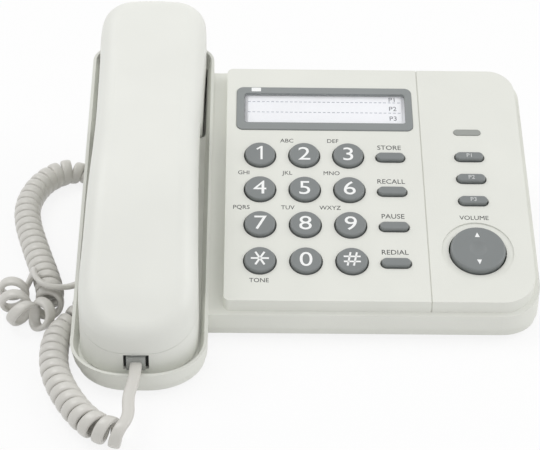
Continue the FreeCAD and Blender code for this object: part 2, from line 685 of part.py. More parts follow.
def make_lens():
    """The indicator lens, held by a flange under the panel."""
    w, d = INDICATOR_SIZE
    lens = pill(w - 0.2, d - 0.2, -WALL - 1.0, 0.3, PRESET_X, INDICATOR_S)
    return on_panel(lens.fuse(pill(w + 2, d + 2, -WALL - 1.0, -WALL - 0.01, PRESET_X, INDICATOR_S)))


def make_led():
    """The lamp under the lens, standing on the board."""
    body = box(PRESET_X - 2.0, PRESET_X + 2.0, INDICATOR_S - 1.5, INDICATOR_S + 1.5, -BOARD_DROP, -BOARD_DROP + 2.6)
    dome = Part.makeSphere(1.2, Vec(PRESET_X, INDICATOR_S, -BOARD_DROP + 2.5))
    return on_panel(body.fuse(dome))


# ---------------------------------------------------------------- base pieces
def make_plunger():
    """The hook plunger the handset presses."""
    wide, long = HOOK_SIZE
    top = EAR_WELL_H + 0.1
    stem = box(CRADLE_X - wide / 2, CRADLE_X + wide / 2, HOOK_S - long / 2, HOOK_S + long / 2, top - HOOK_LENGTH, top)
    edges = [e for e in stem.Edges if e.BoundBox.ZMin > top - 0.01]
    stem = stem.makeFillet(0.8, edges)
    flange = box(CRADLE_X - wide / 2 - 1.5, CRADLE_X + wide / 2 + 1.5, HOOK_S - long / 2 - 1, HOOK_S + long / 2 + 1,
                 top - HOOK_LENGTH - 1.2, top - HOOK_LENGTH)
    return on_panel(stem.fuse(flange))


def make_hook_switch():
    """The switch the plunger works, on its pedestal."""
    body = box(CRADLE_X - 8.5, CRADLE_X + 8.5, HOOK_SWITCH_S - 5.5, HOOK_SWITCH_S + 5.5, HOOK_SWITCH_H, HOOK_SWITCH_TOP)
    post = cylinder(CRADLE_X, HOOK_S, HOOK_SWITCH_TOP - 0.5, HOOK_SWITCH_TOP + 1.2, 1.6)
    return on_panel(body.fuse(post))


def make_ringer():
    """The ringer on the floor."""
    z = FOOT_LIFT + FLOOR
    ring = cylinder(RINGER_X, RINGER_Y, z, z + 2.4, 13.5)
    can = cylinder(RINGER_X, RINGER_Y, z + 2.4, z + 5.5, 8.0)
    return ring.fuse(can).cut(cylinder(RINGER_X, RINGER_Y, z - 1, z + 1.4, 11.5))


def make_line_jack():
    """The line jack at the back, open to the rear."""
    width, depth, height = LINE_JACK_SIZE
    z = FOOT_LIFT + FLOOR
    body = box(LINE_JACK_X - width / 2, LINE_JACK_X + width / 2, BODY_BACK_Y - 0.2 - depth, BODY_BACK_Y - 0.2,
               z, z + height)
    mouth_w, mouth_h = LINE_MOUTH
    mouth = box(LINE_JACK_X - mouth_w / 2, LINE_JACK_X + mouth_w / 2, BODY_BACK_Y - 12.0, BODY_BACK_Y + 1,
                z + 2.4, z + 2.4 + mouth_h)
    notch = box(LINE_JACK_X - 3.2, LINE_JACK_X + 3.2, BODY_BACK_Y - 12.0, BODY_BACK_Y + 1,
                z + 2.4 + mouth_h - 0.01, z + 2.4 + mouth_h + 1.6)
    return body.cut([mouth, notch])


def jack_body(outer, mouth, depth, notch_w, notch_h):
    """A cord jack with its mouth at x = 0 facing -x, its axis on y = z = 0."""
    body = box(0, depth, -outer[0] / 2, outer[0] / 2, -outer[1] / 2, outer[1] / 2)
    hole = box(-1, depth - 1.2, -mouth[0] / 2, mouth[0] / 2, -mouth[1] / 2, mouth[1] / 2)
    notch = box(-1, depth - 1.2, -notch_w / 2, notch_w / 2, mouth[1] / 2 - 0.01, mouth[1] / 2 + notch_h)
    return body.cut([hole, notch])


def base_jack_box(grow):
    """The base jack's outer box, grown all round by a clearance."""
    width = JACK_MOUTH[0] / 2 + JACK_WALL + grow
    height = JACK_MOUTH[1] / 2 + JACK_WALL + grow
    return box(CORD_JACK_X - width, CORD_JACK_X + width, CORD_JACK_Y - grow, CORD_JACK_Y + JACK_DEPTH + grow,
               CORD_JACK_Z - height, CORD_JACK_Z + height)


def make_base_jack():
    """The cord jack under the cradle's left side, its mouth to the front."""
    width, height = JACK_MOUTH
    outer = (width + 2 * JACK_WALL, height + 2 * JACK_WALL)
    body = jack_body(outer, JACK_MOUTH, JACK_DEPTH, 3.0, 0.6)
    body.rotate(Vec(0, 0, 0), Vec(0, 0, 1), 90)
    body.translate(Vec(CORD_JACK_X, CORD_JACK_Y, CORD_JACK_Z))
    return body


def slide_switch(x):
    """The body of a slide switch behind the back wall."""
    w, d, h = SWITCH_BODY
    y = BODY_BACK_Y - WALL - 0.05
    body = box(x - w / 2, x + w / 2, y - d, y, SWITCH_Z - h / 2, SWITCH_Z + h / 2)
    reach = SWITCH_KNOB[0] / 2 + SWITCH_TRAVEL + FIT
    return body.cut(box(x - reach, x + reach, y - 2.6, y + 1, SWITCH_Z - SWITCH_KNOB[1] / 2 - FIT,
                        SWITCH_Z + SWITCH_KNOB[1] / 2 + FIT))


def slide_knob(x):
    """The knob of a slide switch, through the back wall."""
    w, h = SWITCH_KNOB
    y = BODY_BACK_Y - WALL - 0.05
    return box(x - w / 2, x + w / 2, y - 2.3, BODY_BACK_Y + 1.0, SWITCH_Z - h / 2, SWITCH_Z + h / 2)


def make_feet():
    """The four rubber feet."""
    return Part.makeCompound([cylinder(x, y, 0, FOOT_HEIGHT, FOOT_RADIUS) for x, y in foot_spots()])


def make_case_screws():
    """The screws that hold the lower case on."""
    screws = []
    for x, y in case_bosses():
        shaft = cylinder(x, y, FOOT_LIFT + 0.4, FOOT_LIFT + FLOOR + 9.0, SCREW_RADIUS)
        head = cylinder(x, y, FOOT_LIFT + 0.2, FOOT_LIFT + 1.3, SCREW_HEAD)
        screws.append(head.fuse(shaft))
    return Part.makeCompound(screws)


def make_board_screws():
    """The screws that hold the board under the panel."""
    screws = []
    low = -BOARD_DROP - BOARD_THICK
    for x, s in board_bosses():
        shaft = cylinder(x, s, low - 0.5, -BOARD_DROP + 3.6, BOARD_SCREW_RADIUS)
        screws.append(on_panel(shaft.fuse(cylinder(x, s, low - 1.4, low, 2.3))))
    return Part.makeCompound(screws)


def make_tab():
    """The small hook that holds the handset when the telephone hangs on a wall."""
    fit = 0.05
    foot = box(CRADLE_X - TAB_WIDTH / 2 + fit, CRADLE_X + TAB_WIDTH / 2 - fit, TAB_S + fit, TAB_S + TAB_THICK - fit,
               CRADLE_FLOOR_H - TAB_SEAT, CRADLE_FLOOR_H + TAB_RISE)
    edges = [e for e in foot.Edges if e.BoundBox.ZMin > CRADLE_FLOOR_H + TAB_RISE - 0.01]
    return on_panel(foot.makeFillet(0.5, edges))


# ---------------------------------------------------------------- handset
def handset_plan(inset):
    """A smooth closed plan outline of the handset, pinched a little in the middle."""
    half = HANDSET_WIDTH / 2 - inset
    front = HANDSET_FRONT_Y + inset
    back = HANDSET_BACK_Y - inset
    r_front = HANDSET_FRONT_RADIUS - inset
    r_back = HANDSET_BACK_RADIUS - inset
    right = []
    for i in range(5):
        angle = math.radians(-90 + 22.5 * i)
        right.append((half - r_front + r_front * math.cos(angle), front + r_front + r_front * math.sin(angle)))
    low = front + r_front
    high = back - r_back
    for i in range(1, 8):
        f = i / 8.0
        pinch = HANDSET_PINCH * math.sin(math.pi * f) ** 2
        right.append((half - pinch, low + (high - low) * f))
    for i in range(5):
        angle = math.radians(22.5 * i)
        right.append((half - r_back + r_back * math.cos(angle), high + r_back * math.sin(angle)))
    left = [(-x, y) for x, y in reversed(right)]
    points = [Vec(CRADLE_X + x, y, 0) for x, y in right + left]
    curve = Part.BSplineCurve()
    curve.interpolate(points, PeriodicFlag=True)
    return Part.Wire(curve.toShape())


def handset_side(inset):
    """The handset's side view as a solid across it, drawn in by inset."""
    level = HANDSET_BOTTOM_Z + inset
    mic = MIC_BOTTOM_H + inset
    grip = GRIP_BOTTOM_H + inset
    ear = EAR_BOTTOM_H + inset
    tail = TAIL_BOTTOM_H + inset
    a = panel_flat(-130.0, level)
    b = panel_flat(plane_y(level, mic), level)
    under = [(a[0], a[1], 0), (b[0], b[1], 2), (MIC_END_S - inset, mic, 3 - inset / 2),
             (MIC_END_S + 5 - inset, grip, 7 + inset), (EAR_START_S - 5 + inset, grip, 7 + inset),
             (EAR_START_S + inset, ear, 4 - inset), (EAR_END_S - inset, ear, 4 - inset),
             (EAR_END_S + 2 - inset, tail, 2 + inset), (200.0, tail, 0)]
    top = [(200.0, HANDSET_TOP_END - inset, 0)]
    for s, h, r in reversed(HANDSET_TOP):
        top.append((s, h - inset, r))
    corners = [(s, h, r) for s, h, r in under + top]
    wire = outline(corners)
    solid = Part.Face(wire).extrude(Vec(0, 0, CRADLE_WIDTH))
    solid.Placement = FreeCAD.Placement(Vec(CRADLE_X - CRADLE_WIDTH / 2, 0, 0), FreeCAD.Rotation(Vec(1, 1, 1), 120))
    return on_panel(solid)


def handset_solid(inset, radius):
    """The handset's form, drawn in by inset, with its upper edge rounded."""
    body = prism(handset_plan(inset), 140.0).common(handset_side(inset))
    solid = body.Solids[0]
    edges = []
    for edge in solid.Edges:
        mid = edge.valueAt((edge.FirstParameter + edge.LastParameter) / 2)
        height = panel_flat(mid.y, mid.z)[1]
        if not isinstance(edge.Curve, Part.Line) and height > GRIP_BOTTOM_H + inset + 0.8:
            edges.append(edge)
    return solid.makeFillet(radius, edges)


def seam_side(shift):
    """Everything below the handset's parting line, moved up by shift."""
    points = [(-80.0, 6.0), (-20.0, 10.2), (45.0, 15.5), (110.0, 8.6), (220.0, 3.0)]
    corners = [(s, h + shift, 200 if 0 < i < 4 else 0) for i, (s, h) in enumerate(points)]
    corners = [(-80.0, -60.0, 0)] + corners + [(220.0, -60.0, 0)]
    wire = outline(list(reversed(corners)))
    solid = Part.Face(wire).extrude(Vec(0, 0, CRADLE_WIDTH))
    solid.Placement = FreeCAD.Placement(Vec(CRADLE_X - CRADLE_WIDTH / 2, 0, 0), FreeCAD.Rotation(Vec(1, 1, 1), 120))
    return on_panel(solid)


def handset_screw_spots():
    """Where the handset's two screws go, along the panel."""
    return [14.0, 84.0]


def make_handset_shells():
    """The two halves of the handset."""
    outer = handset_solid(0, HANDSET_TOP_ROUND)
    hollow = handset_solid(HANDSET_WALL, HANDSET_TOP_ROUND - HANDSET_WALL)
    shell = outer.cut(hollow)
    width, height = HANDSET_MOUTH
    mouth = box(CRADLE_X - width / 2, CRADLE_X + width / 2, HANDSET_FRONT_Y - 1, HANDSET_FRONT_Y + 6,
                HANDSET_JACK_Z - height / 2, HANDSET_JACK_Z + height / 2)
    below = seam_side(0.0)
    upper = shell.cut(below.fuse(seam_side(SHELL_GAP)))
    lower = shell.common(below)
    posts = []
    for s in handset_screw_spots():
        post = on_panel(cylinder(CRADLE_X, s, GRIP_BOTTOM_H + HANDSET_WALL + 0.1, 60, 3.2)).common(outer)
        posts.append(post)
    upper = upper.fuse(posts)
    drills = [on_panel(cylinder(CRADLE_X, s, 0, GRIP_BOTTOM_H + HANDSET_WALL + 9, 1.35))
              for s in handset_screw_spots()]
    upper = upper.cut(drills + [mouth])
    holes = [on_panel(cylinder(CRADLE_X, s, 0, GRIP_BOTTOM_H + HANDSET_WALL + 1, 1.5))
             for s in handset_screw_spots()]
    holes += [on_panel(cylinder(CRADLE_X, s, 0, GRIP_BOTTOM_H + 1.2, 2.7)) for s in handset_screw_spots()]
    for i in range(7):
        angle = math.pi * i / 3
        reach = 0.0 if i == 6 else 5.0
        holes.append(on_panel(cylinder(CRADLE_X + reach * math.cos(angle), RECEIVER_S + reach * math.sin(angle),
                                       EAR_BOTTOM_H - 1, EAR_BOTTOM_H + HANDSET_WALL + 1, 1.1)))
    for i in range(3):
        x = CRADLE_X + (i - 1) * 2.6
        holes.append(on_panel(cylinder(x, MIC_S, MIC_BOTTOM_H - 2, MIC_BOTTOM_H + HANDSET_WALL + 1, 0.7)))
    return upper, lower.cut(holes + [mouth])


def make_handset_inside():
    """The pieces inside the handset, by node name."""
    low = EAR_BOTTOM_H + HANDSET_WALL
    gasket = cylinder(CRADLE_X, RECEIVER_S, low, low + 1.2, 14.5).cut(
        cylinder(CRADLE_X, RECEIVER_S, low - 1, low + 2, 11.5))
    receiver = cylinder(CRADLE_X, RECEIVER_S, low + 1.2, low + 5.2, 14.5).fuse(
        cylinder(CRADLE_X, RECEIVER_S, low + 5.2, low + 8.4, 9.0))
    floor = MIC_BOTTOM_H + HANDSET_WALL
    boot = cylinder(CRADLE_X, MIC_S, floor, floor + 6.5, 4.8).cut(
        cylinder(CRADLE_X, MIC_S, floor - 1, floor + 5.5, 3.6))
    capsule = cylinder(CRADLE_X, MIC_S, floor + 0.6, floor + 5.4, 3.5)
    rest = GRIP_BOTTOM_H + HANDSET_WALL
    weight = prism(rect(CRADLE_X - 8, CRADLE_X + 8, 28, 70, 1.5, rest), 5.0)
    screws = []
    for s in handset_screw_spots():
        head = cylinder(CRADLE_X, s, GRIP_BOTTOM_H + 0.1, GRIP_BOTTOM_H + 1.2, 2.5)
        screws.append(on_panel(head.fuse(cylinder(CRADLE_X, s, GRIP_BOTTOM_H + 0.2, rest + 7.5, 1.3))))
    jack = jack_body((HANDSET_MOUTH[0] + 2.0, HANDSET_JACK_HEIGHT), JACK_MOUTH, JACK_DEPTH, 3.0, 0.6)
    jack.rotate(Vec(0, 0, 0), Vec(0, 0, 1), 90)
    jack.translate(Vec(CRADLE_X, HANDSET_FRONT_Y + HANDSET_WALL + 0.05, HANDSET_JACK_Z))
    return {
        "receiver_gasket": on_panel(gasket),
        "receiver": on_panel(receiver),
        "mic_boot": on_panel(boot),
        "microphone": on_panel(capsule),
        "handset_weight": on_panel(weight),
        "handset_screws": Part.makeCompound(screws),
        "handset_jack": jack,
    }


# ---------------------------------------------------------------- cord
def curl_route():
    """The curls' middle line: a smooth curve, and functions for the curl radius and pitch along it."""
    curve = Part.BSplineCurve()
    curve.interpolate([Vec(x, y, radius + WIRE_RADIUS + TABLE_GAP) for x, y, radius, pitch in CURL_ROUTE])
    knots = [curve.parameter(Vec(x, y, radius + WIRE_RADIUS + TABLE_GAP)) for x, y, radius, pitch in CURL_ROUTE]

    def blend(index, parameter):
        for i in range(len(knots) - 1):
            if parameter <= knots[i + 1] or i == len(knots) - 2:
                f = min(max((parameter - knots[i]) / (knots[i + 1] - knots[i]), 0.0), 1.0)
                return CURL_ROUTE[i][index] * (1 - f) + CURL_ROUTE[i + 1][index] * f

    return curve, blend


def curl_line():
    """The curls' middle line with the turns made so far at fine steps, and the turns in all."""
    curve, blend = curl_route()
    first, last = curve.FirstParameter, curve.LastParameter
    count = 4000
    turns = [0.0]
    before = curve.value(first)
    for i in range(1, count + 1):
        parameter = first + (last - first) * i / count
        here = curve.value(parameter)
        turns.append(turns[-1] + (here - before).Length / blend(3, parameter))
        before = here
    whole = math.floor(turns[-1]) + CURL_END_PART
    scale = whole / turns[-1]
    return curve, blend, [t * scale for t in turns], whole


def curl_point(curve, blend, parameter, turn):
    """A point of the curls: they start at the top, and go down on the left of the way."""
    middle = curve.value(parameter)
    ahead = curve.tangent(parameter)[0]
    up = Vec(0, 0, 1)
    side = ahead.cross(up).normalize()
    lift = side.cross(ahead).normalize()
    radius = blend(2, parameter)
    angle = 2 * math.pi * turn
    return middle + lift * (radius * math.cos(angle)) - side * (radius * math.sin(angle))


def arc_edge(start, direction, end):
    """An arc from start, leaving along direction, to end."""
    chord = end - start
    along = Vec(chord).normalize()
    across = direction - along * direction.dot(along)
    if across.Length < 1e-5:
        return Part.LineSegment(start, end).toShape()
    angle = direction.getAngle(along)
    middle = start + chord * 0.5 + across.normalize() * (chord.Length / 2 * math.tan(angle / 2))
    return Part.Arc(start, middle, end).toShape()


def biarc(start, out, end, into):
    """Two arcs that join two points with given directions."""
    gap = end - start
    both = out + into
    spread = 2 * (1 - out.dot(into))
    mixed = gap.dot(both)
    reach = (-mixed + math.sqrt(mixed * mixed + spread * gap.dot(gap))) / spread
    meet = (start + out * reach + end - into * reach) * 0.5
    first = arc_edge(start, out, meet)
    turned = (meet - start) * (2 * out.dot(meet - start) / (meet - start).dot(meet - start)) - out
    return [first, arc_edge(meet, turned.normalize(), end)]


def curl_stations():
    """Points and directions of the curls at every quarter turn and at their end."""
    curve, blend, turns, whole = curl_line()
    first, last = curve.FirstParameter, curve.LastParameter
    count = len(turns) - 1

    def at(turn):
        turn = min(max(turn, 0.0), whole)
        low, high = 0, count
        while high - low > 1:
            half = (low + high) // 2
            if turns[half] <= turn:
                low = half
            else:
                high = half
        f = (turn - turns[low]) / (turns[high] - turns[low])
        return curl_point(curve, blend, first + (last - first) * (low + f) / count, turn)

    stations = []
    small = 0.004
    for turn in [i / CURL_STEPS for i in range(int(whole * CURL_STEPS) + 1)] + [whole]:
        before = at(turn - small)
        after = at(turn + small)
        stations.append((at(turn), (after - before).normalize()))
    return stations, whole


def tube_along(edges, radius):
    """One tube along a chain of edges."""
    path = Part.Wire(edges)
    first = edges[0]
    start = first.valueAt(first.FirstParameter)
    direction = first.tangentAt(first.FirstParameter)
    ring = Part.Wire(Part.makeCircle(radius, start, direction))
    shell = Part.BRepOffsetAPI.MakePipeShell(path)
    shell.add(ring)
    shell.build()
    shell.makeSolid()
    return shell.shape()


def make_curls():
    """The curled part of the cord as one tube, with a straight run at each end."""
    stations, whole = curl_stations()
    straight = 2 * WIRE_RADIUS
    start, out = stations[0]
    end, into = stations[-1]
    edges = [Part.LineSegment(start - out * straight, start).toShape()]
    for i in range(len(stations) - 1):
        edges += biarc(stations[i][0], stations[i][1], stations[i + 1][0], stations[i + 1][1])
    edges.append(Part.LineSegment(end, end + into * straight).toShape())
    tube = tube_along(edges, WIRE_RADIUS)
    points = []
    tightest = BIG
    for edge in edges:
        if isinstance(edge.Curve, Part.Circle):
            tightest = min(tightest, edge.Curve.Radius)
        for i in range(4):
            f = i / 4.0
            points.append((edge.valueAt(edge.FirstParameter * (1 - f) + edge.LastParameter * f), edge))
    length = sum(edge.Length for edge in edges)
    steps = [0.0]
    for i in range(1, len(points)):
        steps.append(steps[-1] + (points[i][0] - points[i - 1][0]).Length)
    least = BIG
    for i in range(len(points)):
        for j in range(i + 1, len(points)):
            if steps[j] - steps[i] > 4 * WIRE_RADIUS:
                least = min(least, (points[j][0] - points[i][0]).Length - 2 * WIRE_RADIUS)
    print("curls %.1f, length %.0f, tightest radius %.2f, least gap %.2f, volume ratio %.3f" % (
        whole, length, tightest, least, tube.Volume / (math.pi * WIRE_RADIUS ** 2 * length)))
    return tube, (start - out * straight, out), (end + into * straight, into)


def make_lead(route, name):
    """A straight-run tube with a tangent arc at every bend."""
    edges = []
    length = 0.0
    at = route[0]
    radii = []
    for i in range(1, len(route) - 1):
        before = route[i] - route[i - 1]
        after = route[i + 1] - route[i]
        half = before.getAngle(after) / 2
        reach = 0.45 * min(before.Length, after.Length)
        radius = reach / math.tan(half)
        radii.append(radius)
        into = Vec(before).normalize()
        out = Vec(after).normalize()
        start = route[i] - into * reach
        end = route[i] + out * reach
        edges.append(Part.LineSegment(at, start).toShape())
        edges.append(arc_edge(start, into, end))
        at = end
    edges.append(Part.LineSegment(at, route[-1]).toShape())
    length = sum(edge.Length for edge in edges)
    tube = tube_along(edges, LEAD_RADIUS)
    print(name, "length %.1f, radii %s, volume ratio %.3f" % (
        length, " ".join("%.1f" % r for r in radii), tube.Volume / (math.pi * LEAD_RADIUS ** 2 * length)))
    return tube


def make_plug(height_up):
    """A modular plug with its tail at x = 0, pointing along +x, its latch on top."""
    width, height, long = PLUG_SIZE
    body = box(0, long, -width / 2, width / 2, -height / 2, height / 2)
    latch = box(2.0, long - 1.0, -1.3, 1.3, height / 2 - 0.01, height / 2 + height_up)
    return body.fuse(latch)


def make_cord():
    """The cord's pieces, by node name."""
    curls, start, end = make_curls()
    tail = HANDSET_FRONT_Y - PLUG_TAIL
    lead = [Vec(CRADLE_X, tail, HANDSET_JACK_Z)]
    lead += [Vec(*point) for point in HANDSET_LEAD_ROUTE]
    lead += [start[0] - start[1] * LEAD_RUN_IN, start[0]]
    first = make_lead(lead, "cord_lead_handset")
    base_tail = CORD_JACK_Y - PLUG_TAIL
    lead = [end[0], end[0] + end[1] * LEAD_RUN_OUT]
    lead += [Vec(*point) for point in BASE_LEAD_ROUTE]
    lead.append(Vec(CORD_JACK_X, base_tail, CORD_JACK_Z))
    second = make_lead(lead, "cord_lead_base")
    handset_plug = make_plug(0.4)
    handset_plug.rotate(Vec(0, 0, 0), Vec(0, 0, 1), 90)
    base_plug = handset_plug.copy()
    handset_plug.translate(Vec(CRADLE_X, tail, HANDSET_JACK_Z))
    base_plug.translate(Vec(CORD_JACK_X, base_tail, CORD_JACK_Z))
    return {
        "cord_curls": curls,
        "cord_lead_handset": first,
        "cord_lead_base": second,
        "plug_handset": handset_plug,
        "plug_base": base_plug,
    }


# ---------------------------------------------------------------- all pieces
def main():
    """Make every sub-part and write it."""
    os.makedirs("parts", exist_ok=True)
    save(make_upper_case(), "upper_case")
    save(make_lower_case(), "lower_case")
    save(make_tab(), "handset_hook")
    for name, x, s, hole in key_spots():
        save(make_key(x, s, hole), name)
    save(make_keypad_mat(), "keypad_mat")
    save(make_main_board(), "main_board")
    save(make_rocker(), "volume_rocker")
    save(make_rocker_pin(), "rocker_pin")
    save(make_card_frame(), "card_frame")
    save(make_card(-FRAME_POCKET, CARD_THICK), "index_card")
    save(make_card(-FRAME_POCKET + CARD_THICK, WINDOW_THICK), "card_window")
    save(make_lens(), "indicator_lens")
    save(make_led(), "indicator_led")
    save(make_plunger(), "hook_plunger")
    save(make_hook_switch(), "hook_switch")
    save(make_ringer(), "ringer")
    save(make_line_jack(), "line_jack")
    save(make_base_jack(), "cord_jack")
    save(slide_switch(RINGER_SWITCH_X), "ringer_switch")
    save(slide_knob(RINGER_SWITCH_X), "ringer_knob")
    save(slide_switch(DIAL_SWITCH_X), "dial_switch")
    save(slide_knob(DIAL_SWITCH_X), "dial_mode_knob")
    save(make_feet(), "feet")
    save(make_case_screws(), "case_screws")
    save(make_board_screws(), "board_screws")
    upper, lower = make_handset_shells()
    save(upper, "handset_outer_shell")
    save(lower, "handset_inner_shell")
    for name, shape in make_handset_inside().items():
        save(shape, name)
    for name, shape in make_cord().items():
        save(shape, name)


main()
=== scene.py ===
"""Corded desk telephone: finishes, legends, small hardware and cords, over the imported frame.

Lengths in the tables are millimetres, and metres once they reach Blender. The key panel has its
own axes: x to the right, s up the slope and h off the face.
"""

from __future__ import annotations

import json
import logging
import math
from dataclasses import dataclass, field
from enum import Enum
from typing import Any, Iterable, Mapping, Optional, Sequence, Union

import bmesh
import bpy
import numpy as np
from mathutils import Matrix, Vector

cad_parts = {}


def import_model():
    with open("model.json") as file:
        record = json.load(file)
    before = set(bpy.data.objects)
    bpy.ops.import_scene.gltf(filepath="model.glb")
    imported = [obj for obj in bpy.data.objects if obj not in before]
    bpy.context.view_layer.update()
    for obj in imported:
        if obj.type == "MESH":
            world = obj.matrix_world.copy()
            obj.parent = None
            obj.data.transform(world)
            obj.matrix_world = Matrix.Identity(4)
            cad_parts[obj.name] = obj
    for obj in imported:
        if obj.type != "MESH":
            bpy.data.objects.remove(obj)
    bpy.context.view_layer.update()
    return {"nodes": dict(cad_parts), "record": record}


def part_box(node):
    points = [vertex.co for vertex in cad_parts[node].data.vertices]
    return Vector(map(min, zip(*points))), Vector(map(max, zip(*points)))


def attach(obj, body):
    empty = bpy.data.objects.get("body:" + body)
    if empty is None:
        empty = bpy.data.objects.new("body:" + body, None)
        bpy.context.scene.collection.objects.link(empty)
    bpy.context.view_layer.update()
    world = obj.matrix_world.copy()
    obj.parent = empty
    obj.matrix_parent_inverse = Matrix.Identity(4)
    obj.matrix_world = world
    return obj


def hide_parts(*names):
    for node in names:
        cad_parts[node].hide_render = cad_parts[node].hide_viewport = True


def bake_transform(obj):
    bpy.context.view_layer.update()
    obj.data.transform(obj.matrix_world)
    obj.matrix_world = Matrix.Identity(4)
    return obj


LOG = logging.getLogger("telephone")

MM = 0.001

Number = Union[float, "Sock"]
Colour = tuple[int, int, int]
Pair = tuple[float, float]
Triple = tuple[float, float, float]

UP = Vector((0.0, 0.0, 1.0))
WHITE = (1.0, 1.0, 1.0, 1.0)


def linear(colour: Colour) -> tuple[float, float, float, float]:
    """Turn an sRGB colour into a scene-linear one.

    Args:
        colour: Red, green and blue, 0 to 255.

    Returns:
        The same colour as a shader takes it, with an alpha of 1.
    """
    parts = [c / 255.0 for c in colour]
    flat = [p / 12.92 if p <= 0.04045 else ((p + 0.055) / 1.055) ** 2.4 for p in parts]
    return flat[0], flat[1], flat[2], 1.0


def smooth(t: float) -> float:
    """Ease a share from 0 to 1 with flat ends."""
    t = min(max(t, 0.0), 1.0)
    return t * t * (3.0 - 2.0 * t)


def linked(name: str, data: bpy.types.ID) -> bpy.types.Object:
    """Put data into the scene.

    Args:
        name: The object's name.
        data: Its mesh, curve, lamp or camera.

    Returns:
        The new object, at the origin.
    """
    obj = bpy.data.objects.new(name, data)
    bpy.context.scene.collection.objects.link(obj)
    return obj


def plain_mesh(holder: bpy.types.Object) -> bpy.types.Mesh:
    """Turn an object into a plain mesh.

    Args:
        holder: An object that is only needed for this, and is removed.

    Returns:
        Its evaluated form.
    """
    bpy.context.view_layer.update()
    seen = holder.evaluated_get(bpy.context.evaluated_depsgraph_get())
    mesh = bpy.data.meshes.new_from_object(seen)
    bpy.data.objects.remove(holder)
    return mesh


# ---------------------------------------------------------------- nodes


@dataclass(frozen=True)
class Sock:
    """One output of a node tree, with arithmetic that adds Math nodes."""

    graph: "NodeGraph"
    socket: bpy.types.NodeSocket

    def _maths(self, operation: str, first: Number, second: Number) -> "Sock":
        """Add a Math node of two values."""
        node = self.graph.add("ShaderNodeMath", {"operation": operation}, {0: first, 1: second})
        return self.graph.out(node)

    def __add__(self, other: Number) -> "Sock":
        """This plus another."""
        return self._maths("ADD", self, other)

    def __radd__(self, other: Number) -> "Sock":
        """Another plus this."""
        return self._maths("ADD", other, self)

    def __sub__(self, other: Number) -> "Sock":
        """This less another."""
        return self._maths("SUBTRACT", self, other)

    def __rsub__(self, other: Number) -> "Sock":
        """Another less this."""
        return self._maths("SUBTRACT", other, self)

    def __mul__(self, other: Number) -> "Sock":
        """This times another."""
        return self._maths("MULTIPLY", self, other)

    def __rmul__(self, other: Number) -> "Sock":
        """Another times this."""
        return self._maths("MULTIPLY", other, self)

    def over(self, edge: float) -> "Sock":
        """One where the value is above the edge, zero elsewhere."""
        return self._maths("GREATER_THAN", self, edge)

    def spread(self, low: float, high: float) -> "Sock":
        """The value stretched so that low becomes 0 and high becomes 1, held in between."""
        inputs = {"Value": self, "From Min": low, "From Max": high, "To Min": 0.0, "To Max": 1.0}
        return self.graph.out(self.graph.add("ShaderNodeMapRange", {"clamp": True}, inputs))


class NodeGraph:
    """Adds nodes to one tree: the type, then its settings, then its values or links."""

    SPACING = 190.0

    def __init__(self, tree: bpy.types.NodeTree) -> None:
        """Start on a tree, which is emptied."""
        self.tree = tree
        tree.nodes.clear()

    def add(
        self,
        kind: str,
        settings: Optional[Mapping[str, Any]] = None,
        inputs: Optional[Mapping[Union[int, str], Any]] = None,
    ) -> bpy.types.Node:
        """Add one node.

        Args:
            kind: The node's type name.
            settings: Properties set before any input.
            inputs: Values or Socks by socket name or number.

        Returns:
            The new node.
        """
        node = self.tree.nodes.new(kind)
        node.location = (self.SPACING * len(self.tree.nodes), 0.0)
        for name, value in (settings or {}).items():
            setattr(node, name, value)
        for key, value in (inputs or {}).items():
            if isinstance(value, Sock):
                self.tree.links.new(value.socket, node.inputs[key])
            else:
                node.inputs[key].default_value = value
        return node

    def out(self, node: bpy.types.Node, key: Union[int, str] = 0) -> Sock:
        """One output of a node."""
        return Sock(self, node.outputs[key])


class SurfaceGraph(NodeGraph):
    """A material's tree, with the patterns that the finishes share, all in Object coordinates."""

    MIX_A, MIX_B, MIX_RESULT = 6, 7, 2
    NOISE_GAIN = 0.55

    def __init__(self, tree: bpy.types.NodeTree) -> None:
        """Start on a material's tree."""
        super().__init__(tree)
        self._place = self.out(self.add("ShaderNodeTexCoord"), "Object")

    def place(self, stretch: Optional[Triple] = None) -> Sock:
        """Object coordinates.

        Args:
            stretch: What each axis is multiplied by, if anything.

        Returns:
            The coordinates.
        """
        if stretch is None:
            return self._place
        inputs = {0: self._place, 1: stretch}
        return self.out(self.add("ShaderNodeVectorMath", {"operation": "MULTIPLY"}, inputs))

    def noise(
        self, size_mm: float, detail: float = 2.0, stretch: Optional[Triple] = None
    ) -> Sock:
        """Soft noise.

        Args:
            size_mm: About how wide a patch is.
            detail: How many finer layers it has.
            stretch: What each axis is multiplied by, if anything.

        Returns:
            The noise, from 0 to 1.
        """
        inputs = {
            "Vector": self.place(stretch),
            "Scale": 1.0 / (size_mm * MM),
            "Detail": detail,
            "Roughness": self.NOISE_GAIN,
        }
        return self.out(self.add("ShaderNodeTexNoise", {"noise_dimensions": "3D"}, inputs))

    def cells(self, size_mm: float) -> Sock:
        """Distance to the nearest of scattered points about size_mm apart."""
        inputs = {"Vector": self.place(), "Scale": 1.0 / (size_mm * MM), "Randomness": 1.0}
        return self.out(self.add("ShaderNodeTexVoronoi", {"feature": "F1"}, inputs), "Distance")

    def blend(self, share: Number, first: Any, second: Any) -> Sock:
        """A colour between two, by a share from 0 to 1."""
        inputs = {0: share, self.MIX_A: first, self.MIX_B: second}
        return self.out(self.add("ShaderNodeMix", {"data_type": "RGBA"}, inputs), self.MIX_RESULT)

    def bump(self, height: Sock, depth_mm: float, strength: float = 1.0) -> Sock:
        """A normal raised by the height, up to depth_mm."""
        inputs = {"Strength": strength, "Distance": depth_mm * MM, "Height": height}
        return self.out(self.add("ShaderNodeBump", None, inputs))


# ---------------------------------------------------------------- finishes


